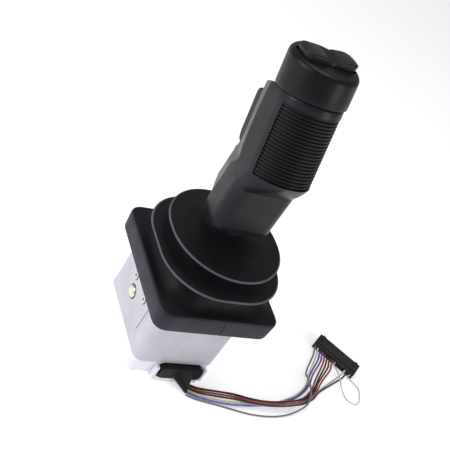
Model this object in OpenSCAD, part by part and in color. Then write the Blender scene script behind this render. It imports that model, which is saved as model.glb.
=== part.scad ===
// Single-axis industrial control joystick for panel mounting.
// Drive lever on a cast housing, thumb rocker on the head, enable trigger on the grip.
// Millimetres. +Z is up out of the panel, +Y points away from the operator, +X is to the right.
// The origin is the centre of the mounting flange, on the face that rests on the panel.

/* [Mounting flange] */
// Flange width, left to right
flange_w = 88; // [86:1:92]
// Flange depth, front to back
flange_d = 97; // [92:1:100]
// Flange thickness
flange_t = 5; // [4:0.5:6]
// Flange corner radius
flange_r = 9; // [6:1:14]
// Panel hole spacing, left to right
bolt_sx = 80; // [79:0.5:81]
// Panel hole spacing, front to back
bolt_sy = 76; // [60:1:82]
// Panel hole diameter
bolt_hole_d = 5.5; // [4.5:0.1:5.5]

/* [Housing] */
// Body width, left to right
body_w = 72; // [70:1:73]
// Body depth, front to back
body_d = 84.5; // [82:0.5:90]
// Body depth below the panel
body_h = 55; // [52:1:66]
// Vertical corner radius of the body
body_r = 9; // [7:1:12]
// Casting wall thickness
wall = 4.5; // [3.5:0.5:5]
// Thickness of the top under the flange
roof_t = 3; // [2:0.5:4]
// Height of the machined pads around the shaft ends
pad_h = 0.8; // [0.4:0.1:1.2]
// Depth of the bottom cover
cover_h = 17; // [14:0.5:24]
// Thickness of the cover gasket
gasket_t = 0.8; // [0.5:0.1:1.5]

/* [Pivot] */
// Pivot axis height, measured from the panel face
pivot_z = -31; // [-34:0.5:-30]
// Pivot axis offset from the flange centre
pivot_y = 9; // [7:0.5:11]
// Pivot shaft diameter
shaft_d = 10; // [8:0.5:11]
// Lever tube diameter
tube_d = 16; // [14:0.5:17]
// Lever tube bore
tube_bore = 10; // [8:0.5:11]
// Largest tilt to each side of upright, in degrees
tilt_max = 18; // [12:1:18]

/* [Boot] */
// Width of the moulded boot base
boot_w = 98; // [94:0.5:104]
// Depth of the moulded boot base
boot_d = 107; // [103:0.5:112]
// Height of the moulded boot base
boot_h = 17; // [15:0.5:20]
// Height of the lower fin rim above the panel
fin_low_z = 36; // [33:0.5:40]
// Half width of the lower fin rim
fin_low_r = 50.3; // [46:0.1:54]
// Height of the upper fin rim above the panel
fin_high_z = 51.5; // [48:0.5:56]
// Half width of the upper fin rim
fin_high_r = 45.8; // [42:0.1:50]

/* [Grip] */
// Height of the bottom rim of the neck above the panel
neck_z = 68; // [66:0.5:74]
// Height of the bend between neck and grip
knee_z = 121; // [118:0.5:130]
// Forward lean of the grip, in degrees
grip_lean = 17; // [12:0.5:20]
// Length of the grip from the bend to the head joint
grip_len = 60; // [58:0.5:68]
// Radius of the palm side of the grip
palm_r = 25.2; // [24:0.1:26]
// Number of ribs on the palm pad
rib_count = 21; // [12:1:24]
// Pitch of the palm ribs
rib_pitch = 2.5; // [2:0.05:2.5]
// Depth of the grooves between the palm ribs
rib_depth = 1; // [0.5:0.1:1.4]

/* [Head] */
// Head radius
head_r = 26; // [25.6:0.1:28]
// Height of the head at its middle
head_h = 25.5; // [24:0.5:30]
// Slope of the head top towards the operator, in degrees
head_slope = 10; // [0:1:12]
// Edge radius of the head top
head_edge = 4; // [3:0.5:5]
// Length of the thumb rocker
rocker_l = 42; // [36:0.5:42]
// Width of the thumb rocker
rocker_w = 19; // [16:0.5:22]
// Rocker tilt to each side, in degrees
rocker_max = 8; // [5:1:8]
// Trigger travel, in degrees
trigger_max = 7; // [5:1:7]
// Half width of the trigger paddle
trigger_hw = 14; // [12:0.5:14]

/* [Harness] */
// Outer diameter of one wire
wire_d = 1.6; // [1.2:0.1:1.7]
// Number of positions in the plug
plug_ways = 15; // [15:1:15]
// Pitch of the plug positions
plug_pitch = 2.8; // [2.5:0.05:2.8]

/* [Hidden] */
$fn = 64;
eps = 0.01;
run_clear = 0.05;
seat_gap = 0.1;
soft_gap = 0.3;

body_y = 3.3;
body_front = body_y - body_d / 2;
cover_top = -body_h - gasket_t;
floor_z = cover_top - cover_h;
cover_wall = 3;
cover_screw_x = body_w / 2 - wall - 4;
cover_screw_y = body_d / 2 - wall - 4;
screw_d = 4;
boss_d = 20;
boss_len = 5;
bush_d = 14;
bush_flange_d = 18;
bush_flange_t = 1.5;
hub_r = 10;
hub_len = 48;
hub_block = 22;
hub_top = -2;
collar_d = 24;
collar_h = 14;
tube_z0 = -3;
tube_z1 = 110;
cable_exit_z = -9;
spring_wire = 2.4;
spring_r = hub_r + 2;
spring_turns = 3.5;
spring_pitch = 2.7;
spring_x = hub_block / 2 + 1.6;
spring_pin_d = 5;
drive_pin_z = 17;
post_z = 23.5;
opening_x = 28;
opening_y = 52;

grommet_x = 7;
grommet_w = 38;
grommet_h = 12;
grommet_out = 6;
grommet_hole = [14, 8];
shelf_w = 44;
shelf_h = 5;

board_z = floor_z + cover_wall + 7;
board_t = 1.6;
board_w = 50;
board_d = 56;
header_y = -22;

seal_t = 0.8;
grip_cavity_r = 19.5;
pad_inner_r = 22.8;
pad_r = palm_r - 0.7;
pad_top_s = -6.8;
pad_len = rib_count * rib_pitch;
pad_bottom_s = pad_top_s - pad_len;
pad_edge_y = -7.3;
pocket_y = 21;
pocket_top = -12;
pocket_bottom = -58.3;
trigger_pivot = [27, -51];
trigger_front = 42;
trigger_wall = 2.5;
plunger_s = trigger_pivot[1] + 25;
plunger_tip = 35;
small_pin_d = 3;

// ---------- general shapes ----------

// Rectangle with rounded corners, centred
module rounded_rect(w, d, r) {
    square([w, d - 2 * r], center = true);
    square([w - 2 * r, d], center = true);
    for (x = [-1, 1], y = [-1, 1])
        translate([x * (w / 2 - r), y * (d / 2 - r)]) circle(r);
}

// Cylinder along X, centred on a point in the YZ plane
module bar_x(x0, x1, y, z, d) {
    translate([x0, y, z]) rotate([0, 90, 0]) cylinder(d = d, h = x1 - x0);
}

// Cylinder along Y
module bar_y(y0, y1, x, z, d) {
    translate([x, y1, z]) rotate([90, 0, 0]) cylinder(d = d, h = y1 - y0);
}

function unit(v) = v / norm(v);

// Points of an arc that rounds the corner b between a and c
function corner(a, b, c, r, n) =
    let (u = unit(a - b), v = unit(c - b), half = acos(u * v) / 2,
         centre = b + unit(u + v) * r / sin(half),
         p = b + u * r / tan(half), q = b + v * r / tan(half),
         a0 = atan2(p.y - centre.y, p.x - centre.x),
         a1 = atan2(q.y - centre.y, q.x - centre.x),
         turn = (a1 - a0) - 360 * floor((a1 - a0 + 180) / 360))
    [for (i = [0:n]) centre + r * [cos(a0 + turn * i / n), sin(a0 + turn * i / n)]];

// Closed outline, symmetric about x = 0, from right-hand corners [x, y, radius, arc steps]
function outline(c) =
    let (m = len(c), mirrored = [for (i = [m - 1:-1:0]) [-c[i][0], c[i][1], c[i][2], c[i][3]]],
         all = concat(c, mirrored), k = len(all))
    [for (i = [0:k - 1])
        let (a = all[(i + k - 1) % k], b = all[i], d = all[(i + 1) % k])
        each corner([a[0], a[1]], [b[0], b[1]], [d[0], d[1]], b[2], b[3])];

// Solid through a stack of rings that all have the same number of points
module loft(rings) {
    n = len(rings[0]);
    m = len(rings);
    polyhedron(
        points = [for (r = rings) each r],
        faces = concat(
            [[for (i = [0:n - 1]) i]],
            [[for (i = [n - 1:-1:0]) (m - 1) * n + i]],
            [for (j = [0:m - 2], i = [0:n - 1])
                [j * n + i, (j + 1) * n + i, (j + 1) * n + (i + 1) % n]],
            [for (j = [0:m - 2], i = [0:n - 1])
                [j * n + i, (j + 1) * n + (i + 1) % n, j * n + (i + 1) % n]]));
}

// Point on a Catmull-Rom curve through four points
function between(a, b, c, d, t) =
    0.5 * (2 * b + (c - a) * t + (2 * a - 5 * b + 4 * c - d) * t * t
        + (3 * b - a - 3 * c + d) * t * t * t);

// Smooth curve through points, with k steps a stretch
function smooth(p, k) =
    let (m = len(p), q = concat([2 * p[0] - p[1]], p, [2 * p[m - 1] - p[m - 2]]))
    concat([for (i = [0:m - 2], t = [0:k - 1]) between(q[i], q[i + 1], q[i + 2], q[i + 3], t / k)],
        [p[m - 1]]);

// Round tube along points. Its rings are turned so that no point twists about ref
module tube(p, d, ref = [0, 0, 1], sides = 8) {
    m = len(p);
    loft([for (i = [0:m - 1])
        let (t = unit(p[min(i + 1, m - 1)] - p[max(i - 1, 0)]),
             u = unit(cross(t, ref)), v = cross(u, t))
        [for (s = [0:sides - 1])
            let (a = 360 * (s + 0.5) / sides) p[i] + d / 2 * (cos(a) * u + sin(a) * v)]]);
}

// ---------- frames of the tilted parts ----------

// Grip frame: origin at the middle of the head joint, +Z along the grip
function grip_origin() = [0, -7 + grip_len * sin(grip_lean), knee_z + grip_len * cos(grip_lean)];

module grip_frame() {
    translate(grip_origin()) rotate([-grip_lean, 0, 0]) children();
}

// Head frame: origin at the middle of the sloping top, +Z out of it
module head_frame() {
    grip_frame() translate([0, 0, head_h]) rotate([head_slope, 0, 0]) children();
}

// Plug frame: origin on the surface below the middle of the plug, +X along its row
plug_origin = [184, -6];
plug_turn = -48.5;
plug_size = [plug_ways * plug_pitch + 3, 16, 6];

module plug_frame() {
    translate([plug_origin.x, plug_origin.y, floor_z]) rotate([0, 0, plug_turn]) children();
}

// ---------- housing ----------

module flange_holes(z0, h) {
    for (x = [-1, 1], y = [-1, 1])
        translate([x * bolt_sx / 2, y * bolt_sy / 2, z0]) cylinder(d = bolt_hole_d, h = h);
}

module cover_screw_places() {
    for (x = [-1, 1], y = [-1, 1])
        translate([x * cover_screw_x, body_y + y * cover_screw_y, 0]) children();
}

sensor_screw_y = [15.5, -8.5];
sensor_screw_z = -19.5;

module pad_outline() {
    translate([0.5, 0]) rounded_rect(44, 43, 3);
}

module housing() color("#c9c9d2") {
    difference() {
        union() {
            difference() {
                union() {
                    linear_extrude(flange_t) rounded_rect(flange_w, flange_d, flange_r);
                    translate([0, body_y, -body_h]) linear_extrude(body_h + 1)
                        rounded_rect(body_w, body_d, body_r);
                    for (s = [-1, 1])
                        translate([s * (body_w / 2 + pad_h / 2), 2.3, -20])
                            rotate([90, 0, 90]) linear_extrude(pad_h, center = true)
                                rounded_rect(44, 46, 3);
                }
                translate([0, body_y, -body_h - 1]) linear_extrude(body_h + 1 - roof_t)
                    rounded_rect(body_w - 2 * wall, body_d - 2 * wall, body_r - wall);
                translate([0, pivot_y, -roof_t - 1]) linear_extrude(roof_t + flange_t + 2)
                    rounded_rect(opening_x, opening_y, 8);
            }
            for (s = [-1, 1])
                bar_x(min(s * (body_w / 2 - wall - boss_len), s * (body_w / 2 - 1)),
                    max(s * (body_w / 2 - wall - boss_len), s * (body_w / 2 - 1)),
                    pivot_y, pivot_z, boss_d);
            bar_x(body_w / 2 - wall - 3, body_w / 2 - 1, pivot_y, pivot_z + post_z, 9);
            cover_screw_places() translate([0, 0, -body_h]) cylinder(d = 9, h = 24);
        }
        flange_holes(-1, flange_t + 2);
        for (s = [-1, 1]) {
            bar_x(min(s * 20, s * (body_w / 2 - 2.5)), max(s * 20, s * (body_w / 2 - 2.5)),
                pivot_y, pivot_z, bush_d + 2 * run_clear);
            bar_x(min(s * 30, s * (body_w / 2 + 2)), max(s * 30, s * (body_w / 2 + 2)),
                pivot_y, pivot_z, 12.4);
        }
        bar_x(body_w / 2 - wall - 4, body_w / 2 - 1.5, pivot_y, pivot_z + post_z,
            spring_pin_d + 2 * run_clear);
        for (y = sensor_screw_y) {
            bar_x(-body_w / 2 - 1, -body_w / 2 + wall + 1, y, sensor_screw_z, 3.4);
            bar_x(-body_w / 2 - 1, -body_w / 2 + 1.6, y, sensor_screw_z, 8);
        }
        cover_screw_places() translate([0, 0, -body_h - 1]) cylinder(d = screw_d - 0.6, h = 19);
    }
}

// ---------- bottom cover ----------

module cover_body(inset, z0, z1) {
    translate([0, body_y, z0]) linear_extrude(z1 - z0)
        rounded_rect(body_w - 1 - 2 * inset, body_d - 1 - 2 * inset, body_r - 0.5 - inset * 0.4, $fn = 32);
}

module bottom_cover() color("#e4e4ee") {
    difference() {
        union() {
            difference() {
                union() {
                    hull() {
                        cover_body(0, cover_top - 2, cover_top);
                        cover_body(1.2, floor_z + 4, floor_z + 5);
                        cover_body(3.6, floor_z, floor_z + 1);
                    }
                    translate([grommet_x, body_front + 1, floor_z]) linear_extrude(shelf_h)
                        rounded_rect(shelf_w, 11.2, 5.5);
                    for (s = [-1, 1])
                        translate([grommet_x + s * (grommet_w / 2 + 2.2) - 1.2, body_front - 4, floor_z + 2])
                            cube([2.4, 8, cover_h - 4]);
                }
                cover_body(cover_wall + 1, floor_z + cover_wall, cover_top + 1);
            }
            cover_screw_places() translate([0, 0, floor_z + 1]) cylinder(d = 11, h = cover_h - 1);
            for (x = [-1, 1], y = [-1, 1])
                translate([x * 22, body_y + y * 24, floor_z + 1]) cylinder(d = 6.5, h = 9);
            for (x = [-20, 20])
                translate([x - 0.8, body_y - 30, floor_z + 1]) cube([1.6, 60, 4]);
        }
        cover_screw_places() {
            translate([0, 0, floor_z - 1]) cylinder(d = screw_d + 0.4, h = cover_h + 3);
            translate([0, 0, floor_z - 1]) cylinder(d = 8.4, h = 4.5);
        }
        for (x = [-1, 1], y = [-1, 1])
            translate([x * 22, body_y + y * 24, floor_z + 4]) cylinder(d = 2.2, h = 8);
        translate([grommet_x, body_front + 3, cover_top - 6.5])
            cube([grommet_hole.x, 14, grommet_hole.y], center = true);
        translate([grommet_x - grommet_w / 2 - 0.1, body_front - 12, floor_z + shelf_h])
            cube([grommet_w + 0.2, 12.6, cover_h]);
    }
}

module cover_gasket() color("#2a2a2c") {
    difference() {
        translate([0, body_y, cover_top + 0.02]) linear_extrude(gasket_t - 0.04)
            rounded_rect(body_w - 1.6, body_d - 1.6, body_r - 0.8);
        translate([0, body_y, cover_top - 1]) linear_extrude(gasket_t + 2)
            rounded_rect(body_w - 2 * wall, body_d - 2 * wall, body_r - wall);
        cover_screw_places() translate([0, 0, cover_top - 1]) cylinder(d = 4.6, h = gasket_t + 2);
        cover_screw_places() translate([0, 0, cover_top - 1]) cylinder(d = 4.6, h = gasket_t + 2);
    }
}

module cover_screws() color("#55565a") {
    cover_screw_places() translate([0, 0, floor_z + 0.6]) difference() {
        union() {
            cylinder(d = 7.6, h = 2.8);
            cylinder(d = screw_d - 0.7, h = cover_h + gasket_t + 12);
        }
        translate([0, 0, -1]) cylinder(d = 3.2, h = 2.6, $fn = 6);
    }
}

// ---------- boot ----------

// Ring of a rounded rectangle at height z
function boot_ring(z, hw, hd, r, cy = 0) =
    let (w = hw - r, d = hd - r)
    [for (q = [0:3], i = [0:7])
        let (a = 90 * q + 90 * i / 7, sx = (q == 0 || q == 3) ? 1 : -1, sy = q < 2 ? 1 : -1)
        [sx * w + r * cos(a), cy + sy * d + r * sin(a), z]];

boot_t = 2.6;
boot_collar_r = tube_d / 2 + soft_gap;
boot_collar_z = neck_z - 3;

boot_outer = [
    boot_ring(0, boot_w / 2, boot_d / 2, 9),
    boot_ring(boot_h - 2, boot_w / 2 + 1, boot_d / 2 + 1, 9.5),
    boot_ring(boot_h, boot_w / 2 - 0.6, boot_d / 2 - 0.6, 9),
    boot_ring(boot_h + 2.5, boot_w / 2 - 6, boot_d / 2 - 6, 14),
    boot_ring(fin_low_z - 10, 38.5, 41, 26),
    boot_ring(fin_low_z - 6, 40, 42, 32),
    boot_ring(fin_low_z - 2.2, fin_low_r - 2, fin_low_r, 40),
    boot_ring(fin_low_z - 1, fin_low_r, fin_low_r + 2, 42),
    boot_ring(fin_low_z + 0.4, fin_low_r - 0.3, fin_low_r + 1.7, 42),
    boot_ring(fin_low_z + 1.4, fin_low_r - 8, fin_low_r - 6, 36),
    boot_ring(fin_high_z - 9, 32.5, 33.5, 31),
    boot_ring(fin_high_z - 6, 34, 35, 33.5),
    boot_ring(fin_high_z - 2.4, fin_high_r - 2, fin_high_r - 1, 43),
    boot_ring(fin_high_z - 1, fin_high_r, fin_high_r + 1, 45),
    boot_ring(fin_high_z + 0.3, fin_high_r - 0.3, fin_high_r + 0.7, 44.7),
    boot_ring(fin_high_z + 0.8, 34, 35, 33, 1),
    boot_ring(fin_high_z + 2.6, 19, 19, 18.9, 6),
    boot_ring(fin_high_z + 6, boot_collar_r + 3, boot_collar_r + 3, boot_collar_r + 2.9, pivot_y),
    boot_ring(boot_collar_z, boot_collar_r + 2.6, boot_collar_r + 2.6, boot_collar_r + 2.5, pivot_y)];

boot_inner = [
    boot_ring(flange_t + soft_gap - 1, boot_w / 2 - 6, boot_d / 2 - 6, 6),
    boot_ring(boot_h - 2, boot_w / 2 - 6, boot_d / 2 - 6, 6),
    boot_ring(boot_h + 0.5, boot_w / 2 - 9, boot_d / 2 - 9, 12),
    boot_ring(fin_low_z - 10, 35.5, 38, 24),
    boot_ring(fin_low_z - 4, 38, 40, 31),
    boot_ring(fin_low_z - 1.6, 43, 45, 36),
    boot_ring(fin_high_z - 9, 29.5, 30.5, 28.5),
    boot_ring(fin_high_z - 4, 32, 33, 31.5),
    boot_ring(fin_high_z - 1.8, 38, 39, 37),
    boot_ring(fin_high_z - 0.4, 18, 18, 17.9, 6),
    boot_ring(fin_high_z + 3.5, boot_collar_r, boot_collar_r, boot_collar_r - 0.1, pivot_y)];

module boot() color("#2b2b2f") {
    difference() {
        loft(boot_outer);
        loft(boot_inner);
        translate([0, 0, -1]) linear_extrude(flange_t + soft_gap + 1)
            rounded_rect(flange_w + 2 * soft_gap, flange_d + 2 * soft_gap, flange_r + soft_gap);
        translate([0, pivot_y, fin_high_z + 3]) cylinder(r = boot_collar_r, h = 30);
    }
}

// ---------- cable exit ----------

exit_point = [14.6, -50.1];
exit_turn = -25;
exit_h = 3.4;

module grommet_profile(w, h) {
    rotate([90, 0, 0]) linear_extrude(0.6, center = true) rounded_rect(w, h, min(w, h) / 2 - 0.1, $fn = 32);
}

module cable_grommet() color("#18181a") {
    grommet_z = cover_top - grommet_h / 2 - 0.1;
    difference() {
        union() {
            translate([grommet_x, body_front + 0.6 - (grommet_out + 0.1) / 2, grommet_z])
                rotate([90, 0, 0]) linear_extrude(grommet_out, center = true)
                    rounded_rect(grommet_w - 0.4, grommet_h - 0.2, 4);
            translate([grommet_x, body_front + 2.4, cover_top - 6.5])
                cube([grommet_hole.x - 0.4, 8, grommet_hole.y - 0.4], center = true);
            translate([grommet_x, body_front + 7.4, cover_top - 6.5])
                rotate([90, 0, 0]) linear_extrude(2, center = true) rounded_rect(18, 10, 3);
            hull() {
                translate([grommet_x + 2, body_front - grommet_out + 1, grommet_z - 0.4])
                    grommet_profile(18, 10);
                translate([exit_point.x, exit_point.y, floor_z + exit_h])
                    rotate([0, 0, exit_turn + 90]) grommet_profile(12.4, 6);
            }
        }
        translate([grommet_x - 30, body_front - 40, floor_z - 10]) cube([60, 80, 10]);
    }
}

// ---------- electronics ----------

module board_places() {
    for (x = [-1, 1], y = [-1, 1]) translate([x * 22, body_y + y * 24, 0]) children();
}

module control_board() color("#2e6b3c") {
    difference() {
        union() {
            translate([-board_w / 2, body_y - board_d / 2, board_z]) cube([board_w, board_d, board_t]);
            translate([-16, 2, board_z + board_t]) cube([12, 12, 2]);
            translate([4, 6, board_z + board_t]) cube([8, 6, 1.6]);
            for (i = [0:3])
                translate([-18 + 5 * i, -8, board_z + board_t]) cube([3, 1.6, 1.2]);
            translate([14, -4, board_z + board_t]) cylinder(d = 6, h = 5);
        }
        board_places() translate([0, 0, board_z - 1]) cylinder(d = 3, h = board_t + 2);
    }
}

module board_screws() color("#9a9ca0") {
    board_places() {
        translate([0, 0, board_z + board_t + 0.02]) cylinder(d = 5, h = 1.8);
        translate([0, 0, board_z - 4]) cylinder(d = 2, h = board_t + 5);
    }
}

module board_header() color("#f0efe8") {
    translate([grommet_x - 8, header_y, board_z + board_t + 0.02]) cube([16, 7, 6]);
    translate([-4, 23.5, board_z + board_t + 0.02]) cube([8, 6, 5]);
}

inner_route = [
    [7, -22.3, -58.2],
    [7, -24.6, -58.4],
    [7, -26.6, -60.8],
    [7, -28.4, -62.1],
    [7, -30.1, -62.3]];

module inner_loom() color("#3a3a3e") tube(smooth(inner_route, 3), 4);

module position_sensor() color("#1d1d20") {
    x1 = -body_w / 2 + wall + seat_gap;
    difference() {
        translate([x1, -14, -25]) cube([5.4, 35, 15.5]);
        bar_x(x1 - 1, x1 + 7, pivot_y, pivot_z, boss_d + 1.2);
        for (y = sensor_screw_y) bar_x(x1 - 1, x1 + 4.6, y, sensor_screw_z, 3.05);
    }
}

module sensor_screws() color("#d8d8dc") {
    for (y = sensor_screw_y) {
        difference() {
            bar_x(-body_w / 2 - 1.4, -body_w / 2 + 1.5, y, sensor_screw_z, 6.6);
            bar_x(-body_w / 2 - 2, -body_w / 2 - 0.1, y, sensor_screw_z, 2.8, $fn = 6);
        }
        bar_x(-body_w / 2 + 1.45, -body_w / 2 + wall + 4.4, y, sensor_screw_z, 2.9);
    }
}

// ---------- pivot ----------

module shaft_bushings() color("#b08a4a") {
    x0 = body_w / 2 - wall - boss_len;
    for (s = [-1, 1]) scale([s, 1, 1]) difference() {
        union() {
            bar_x(x0 - 0.02, body_w / 2 - 2.6, pivot_y, pivot_z, bush_d);
            bar_x(x0 - 0.05 - bush_flange_t, x0 - 0.01, pivot_y, pivot_z, bush_flange_d);
        }
        bar_x(x0 - 6, body_w / 2, pivot_y, pivot_z, shaft_d + 2 * run_clear);
    }
}

module pivot_shaft() color("#d9cfae") {
    half = body_w / 2 + pad_h + 1.2;
    difference() {
        translate([0, pivot_y, pivot_z]) rotate([0, 90, 0]) union() {
            cylinder(d = shaft_d, h = 2 * half - 1.6, center = true);
            for (s = [-1, 1]) rotate([s * 90 - 90, 0, 0])
                translate([0, 0, half - 0.8 - eps]) cylinder(d1 = shaft_d, d2 = shaft_d - 1.6, h = 0.8);
        }
        translate([0, pivot_y, pivot_z - 30]) cylinder(d = 4 + 2 * run_clear, h = 60);
    }
}

module lever_hub() color("#9b9da3") {
    difference() {
        union() {
            bar_x(-hub_len / 2, hub_len / 2, pivot_y, pivot_z, 2 * hub_r);
            translate([-hub_block / 2, pivot_y - hub_block / 2, pivot_z])
                cube([hub_block, hub_block, hub_top - pivot_z]);
            translate([0, pivot_y, hub_top - eps]) cylinder(d = collar_d, h = collar_h);
            bar_x(-22, -hub_block / 2 + 1, pivot_y, pivot_z + 15, 10);
        }
        bar_x(-hub_len, hub_len, pivot_y, pivot_z, shaft_d + 2 * run_clear);
        translate([0, pivot_y, cable_exit_z]) cylinder(d = tube_d + 2 * run_clear, h = 40);
        translate([-3.5, pivot_y, cable_exit_z]) cube([7, 20, tube_z0 - cable_exit_z - 0.3]);
        bar_x(3, 20, pivot_y, pivot_z + drive_pin_z, spring_pin_d + 2 * run_clear);
        translate([0, pivot_y, pivot_z - 30]) cylinder(d = 4 + 2 * run_clear, h = 43);
        bar_x(-30, 30, pivot_y, 5, 4 + 2 * run_clear);
        bar_x(-30, -19, pivot_y, pivot_z + 15, 6 + 2 * run_clear);
    }
}

module hub_pins() color("#8c8f96") {
    translate([0, pivot_y, pivot_z - hub_r + 0.5]) cylinder(d = 4, h = 22);
    for (s = [-1, 1]) scale([s, 1, 1]) bar_x(tube_bore / 2 + 0.4, collar_d / 2 - 0.3, pivot_y, 5, 4);
    bar_x(3.2, spring_x + spring_turns * spring_pitch + 1.8, pivot_y, pivot_z + drive_pin_z, spring_pin_d);
}

module lever_tube() color("#a8abb2") {
    difference() {
        translate([0, pivot_y, tube_z0]) cylinder(d = tube_d, h = tube_z1 - tube_z0);
        translate([0, pivot_y, tube_z0 - 1]) cylinder(d = tube_bore, h = tube_z1 - tube_z0 + 2);
        bar_x(-30, 30, pivot_y, 5, 4 + 2 * run_clear);
    }
}

module sensor_magnet() color("#6f7278") {
    bar_x(-24.6, -19.2, pivot_y, pivot_z + 15, 6);
}

module spring_post() color("#8c8f96") {
    bar_x(spring_x - 1, body_w / 2 - 1.7, pivot_y, pivot_z + post_z, spring_pin_d);
}

// Torsion spring whose two legs straddle the fixed post and the drive pin
spring_leg_y = spring_pin_d / 2 + spring_wire / 2 + seat_gap;

function spring_leg(x, side) = [
    [x, pivot_y + side * spring_leg_y, pivot_z + post_z + 2.5],
    [x, pivot_y + side * spring_leg_y, pivot_z + drive_pin_z - 1],
    [x, pivot_y + side * (spring_leg_y + 3.5), pivot_z + drive_pin_z - 5],
    [x, pivot_y + side * (spring_r - 0.3), pivot_z + 6]];

function spring_coil() = [for (i = [0:spring_turns * 12])
    let (a = 180 + 30 * i)
    [spring_x + spring_pitch * i / 12, pivot_y + spring_r * cos(a), pivot_z + spring_r * sin(a)]];

module centring_spring() color("#70747c") {
    x1 = spring_x + spring_pitch * spring_turns;
    last = spring_leg(x1, 1);
    tube(concat(spring_leg(spring_x, -1), spring_coil(), [for (i = [3:-1:0]) last[i]]),
        spring_wire, [1, 0, 0], 7);
}

grip_cable_route = [
    [0, 3, 150],
    [0, 5, 135],
    [0, 8, 118],
    [0, 9, 100],
    [0, 9, 55],
    [0, 9, 8],
    [0, 9.5, 1],
    [0, 13, -5],
    [0, 20, -6.5],
    [0, 27, -10],
    [0, 32, -19],
    [0, 34, -30],
    [0, 32.5, -42],
    [0, 28, -49],
    [0, 26.5, -53.5],
    [0, 26.5, -56]];

module grip_cable() color("#26262a") tube(smooth(grip_cable_route, 2), 4, [1, 0, 0]);

// ---------- neck ----------

// Right-hand corners of the neck section, palm side first: [x, y, radius, steps]
function neck_corners(nose) = [[27, -15.5, 7, 8], [22.5, 14, 4, 3], [13.5, nose, 6, 4]];

// Right-hand corners of the grip section
function grip_corners(ridge_x, nose_x, nose) =
    [[palm_r, -palm_r, palm_r - 0.4, 8], [ridge_x, 15, 4, 3], [nose_x, nose, 5, 4]];

neck_cavity = [[23.6, -12.2, 5, 8], [19.6, 12, 3, 3], [12, 19.5, 4, 4]];
neck_cavity_z = 98;

module neck_plug(shrink, z0, z1) {
    translate([0, 0, z0]) linear_extrude(z1 - z0)
        polygon(outline([for (c = neck_cavity)
            [c[0] - shrink, c[1] - sign(c[1]) * shrink, c[2], c[3]]]));
}

module neck_adapter() color("#8f9197") {
    difference() {
        union() {
            neck_plug(0.2, neck_cavity_z - 14.1, neck_cavity_z - 0.1);
            translate([-11, pivot_y - 10, neck_cavity_z - 26]) cube([22, 19, 13]);
        }
        translate([0, pivot_y, 0]) cylinder(d = tube_d + 2 * run_clear, h = 200);
        for (s = [-1, 1])
            translate([s * 15, 0, neck_cavity_z - 20]) cylinder(d = 4.4, h = 30);
        bar_x(-20, 20, pivot_y, neck_cavity_z - 20, 4);
    }
}

module adapter_screws() color("#3c3d42") {
    for (s = [-1, 1]) {
        translate([s * 15, 0, neck_cavity_z - 14.15 - 3]) cylinder(d = 7, h = 3);
        translate([s * 15, 0, neck_cavity_z - 14.2]) cylinder(d = 3.2, h = 24);
        scale([s, 1, 1]) difference() {
            bar_x(tube_d / 2 + 0.02, 10.8, pivot_y, neck_cavity_z - 20, 3.9);
            bar_x(9.4, 14, pivot_y, neck_cavity_z - 20, 2);
        }
    }
}

module boot_clamp() color("#b9bbc0") {
    z = boot_collar_z - 5.5;
    r = boot_collar_r + 2.9 + 0.1;
    difference() {
        union() {
            translate([0, pivot_y, z]) cylinder(r = r + 0.9, h = 4);
            translate([-2, pivot_y - r - 2.6, z]) cube([4, 3, 4]);
        }
        translate([0, pivot_y, z - 1]) cylinder(r = r, h = 6);
    }
}

// ---------- grip ----------

// Section plane that turns about a line just ahead of the nose, from level to the grip's own plane
fan_y = 38;
fan_z = 107.5;
fan_reach = (fan_y + 7) / cos(grip_lean);

function mix(a, b, t) = a + (b - a) * t;

function fan_ring(t) =
    let (angle = grip_lean * t, reach = mix(fan_y, fan_reach, t),
         a = neck_corners(32), b = grip_corners(23.8, 14.5, 40.5),
         c = [for (i = [0:2]) [for (k = [0:3]) mix(a[i][k], b[i][k], t)]])
    [for (p = outline(c))
        [p.x, fan_y + (p.y - reach) * cos(angle), fan_z - (p.y - reach) * sin(angle)]];

function grip_ring(s, c) =
    let (o = grip_origin())
    [for (p = outline(c))
        [p.x, o.y + p.y * cos(grip_lean) + s * sin(grip_lean),
         o.z - p.y * sin(grip_lean) + s * cos(grip_lean)]];

// Right-hand points of the palm side where the pad is let in, from the middle to its edge
function seat_points() =
    let (r = pad_inner_r - 0.05, a0 = asin(-pad_edge_y / r), step = (90 - a0) / 6.5)
    concat([for (i = [6:-1:1]) r * [cos(a0 + i * step), -sin(a0 + i * step)]],
        [[r * cos(a0), pad_edge_y - eps], [palm_r * cos(asin(-pad_edge_y / palm_r)) - 0.1, pad_edge_y],
         [palm_r, -0.4]]);

function seat_ring(s, c) =
    let (o = grip_origin(), p = outline(c), m = len(p), right = seat_points(),
         q = concat(right, [for (i = [9:m - 10]) p[i]], [for (i = [8:-1:0]) [-right[i].x, right[i].y]]))
    [for (v = q)
        [v.x, o.y + v.y * cos(grip_lean) + s * sin(grip_lean),
         o.z - v.y * sin(grip_lean) + s * cos(grip_lean)]];

function neck_ring(z, nose) = [for (p = outline(neck_corners(nose))) [p.x, p.y, z]];

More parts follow.
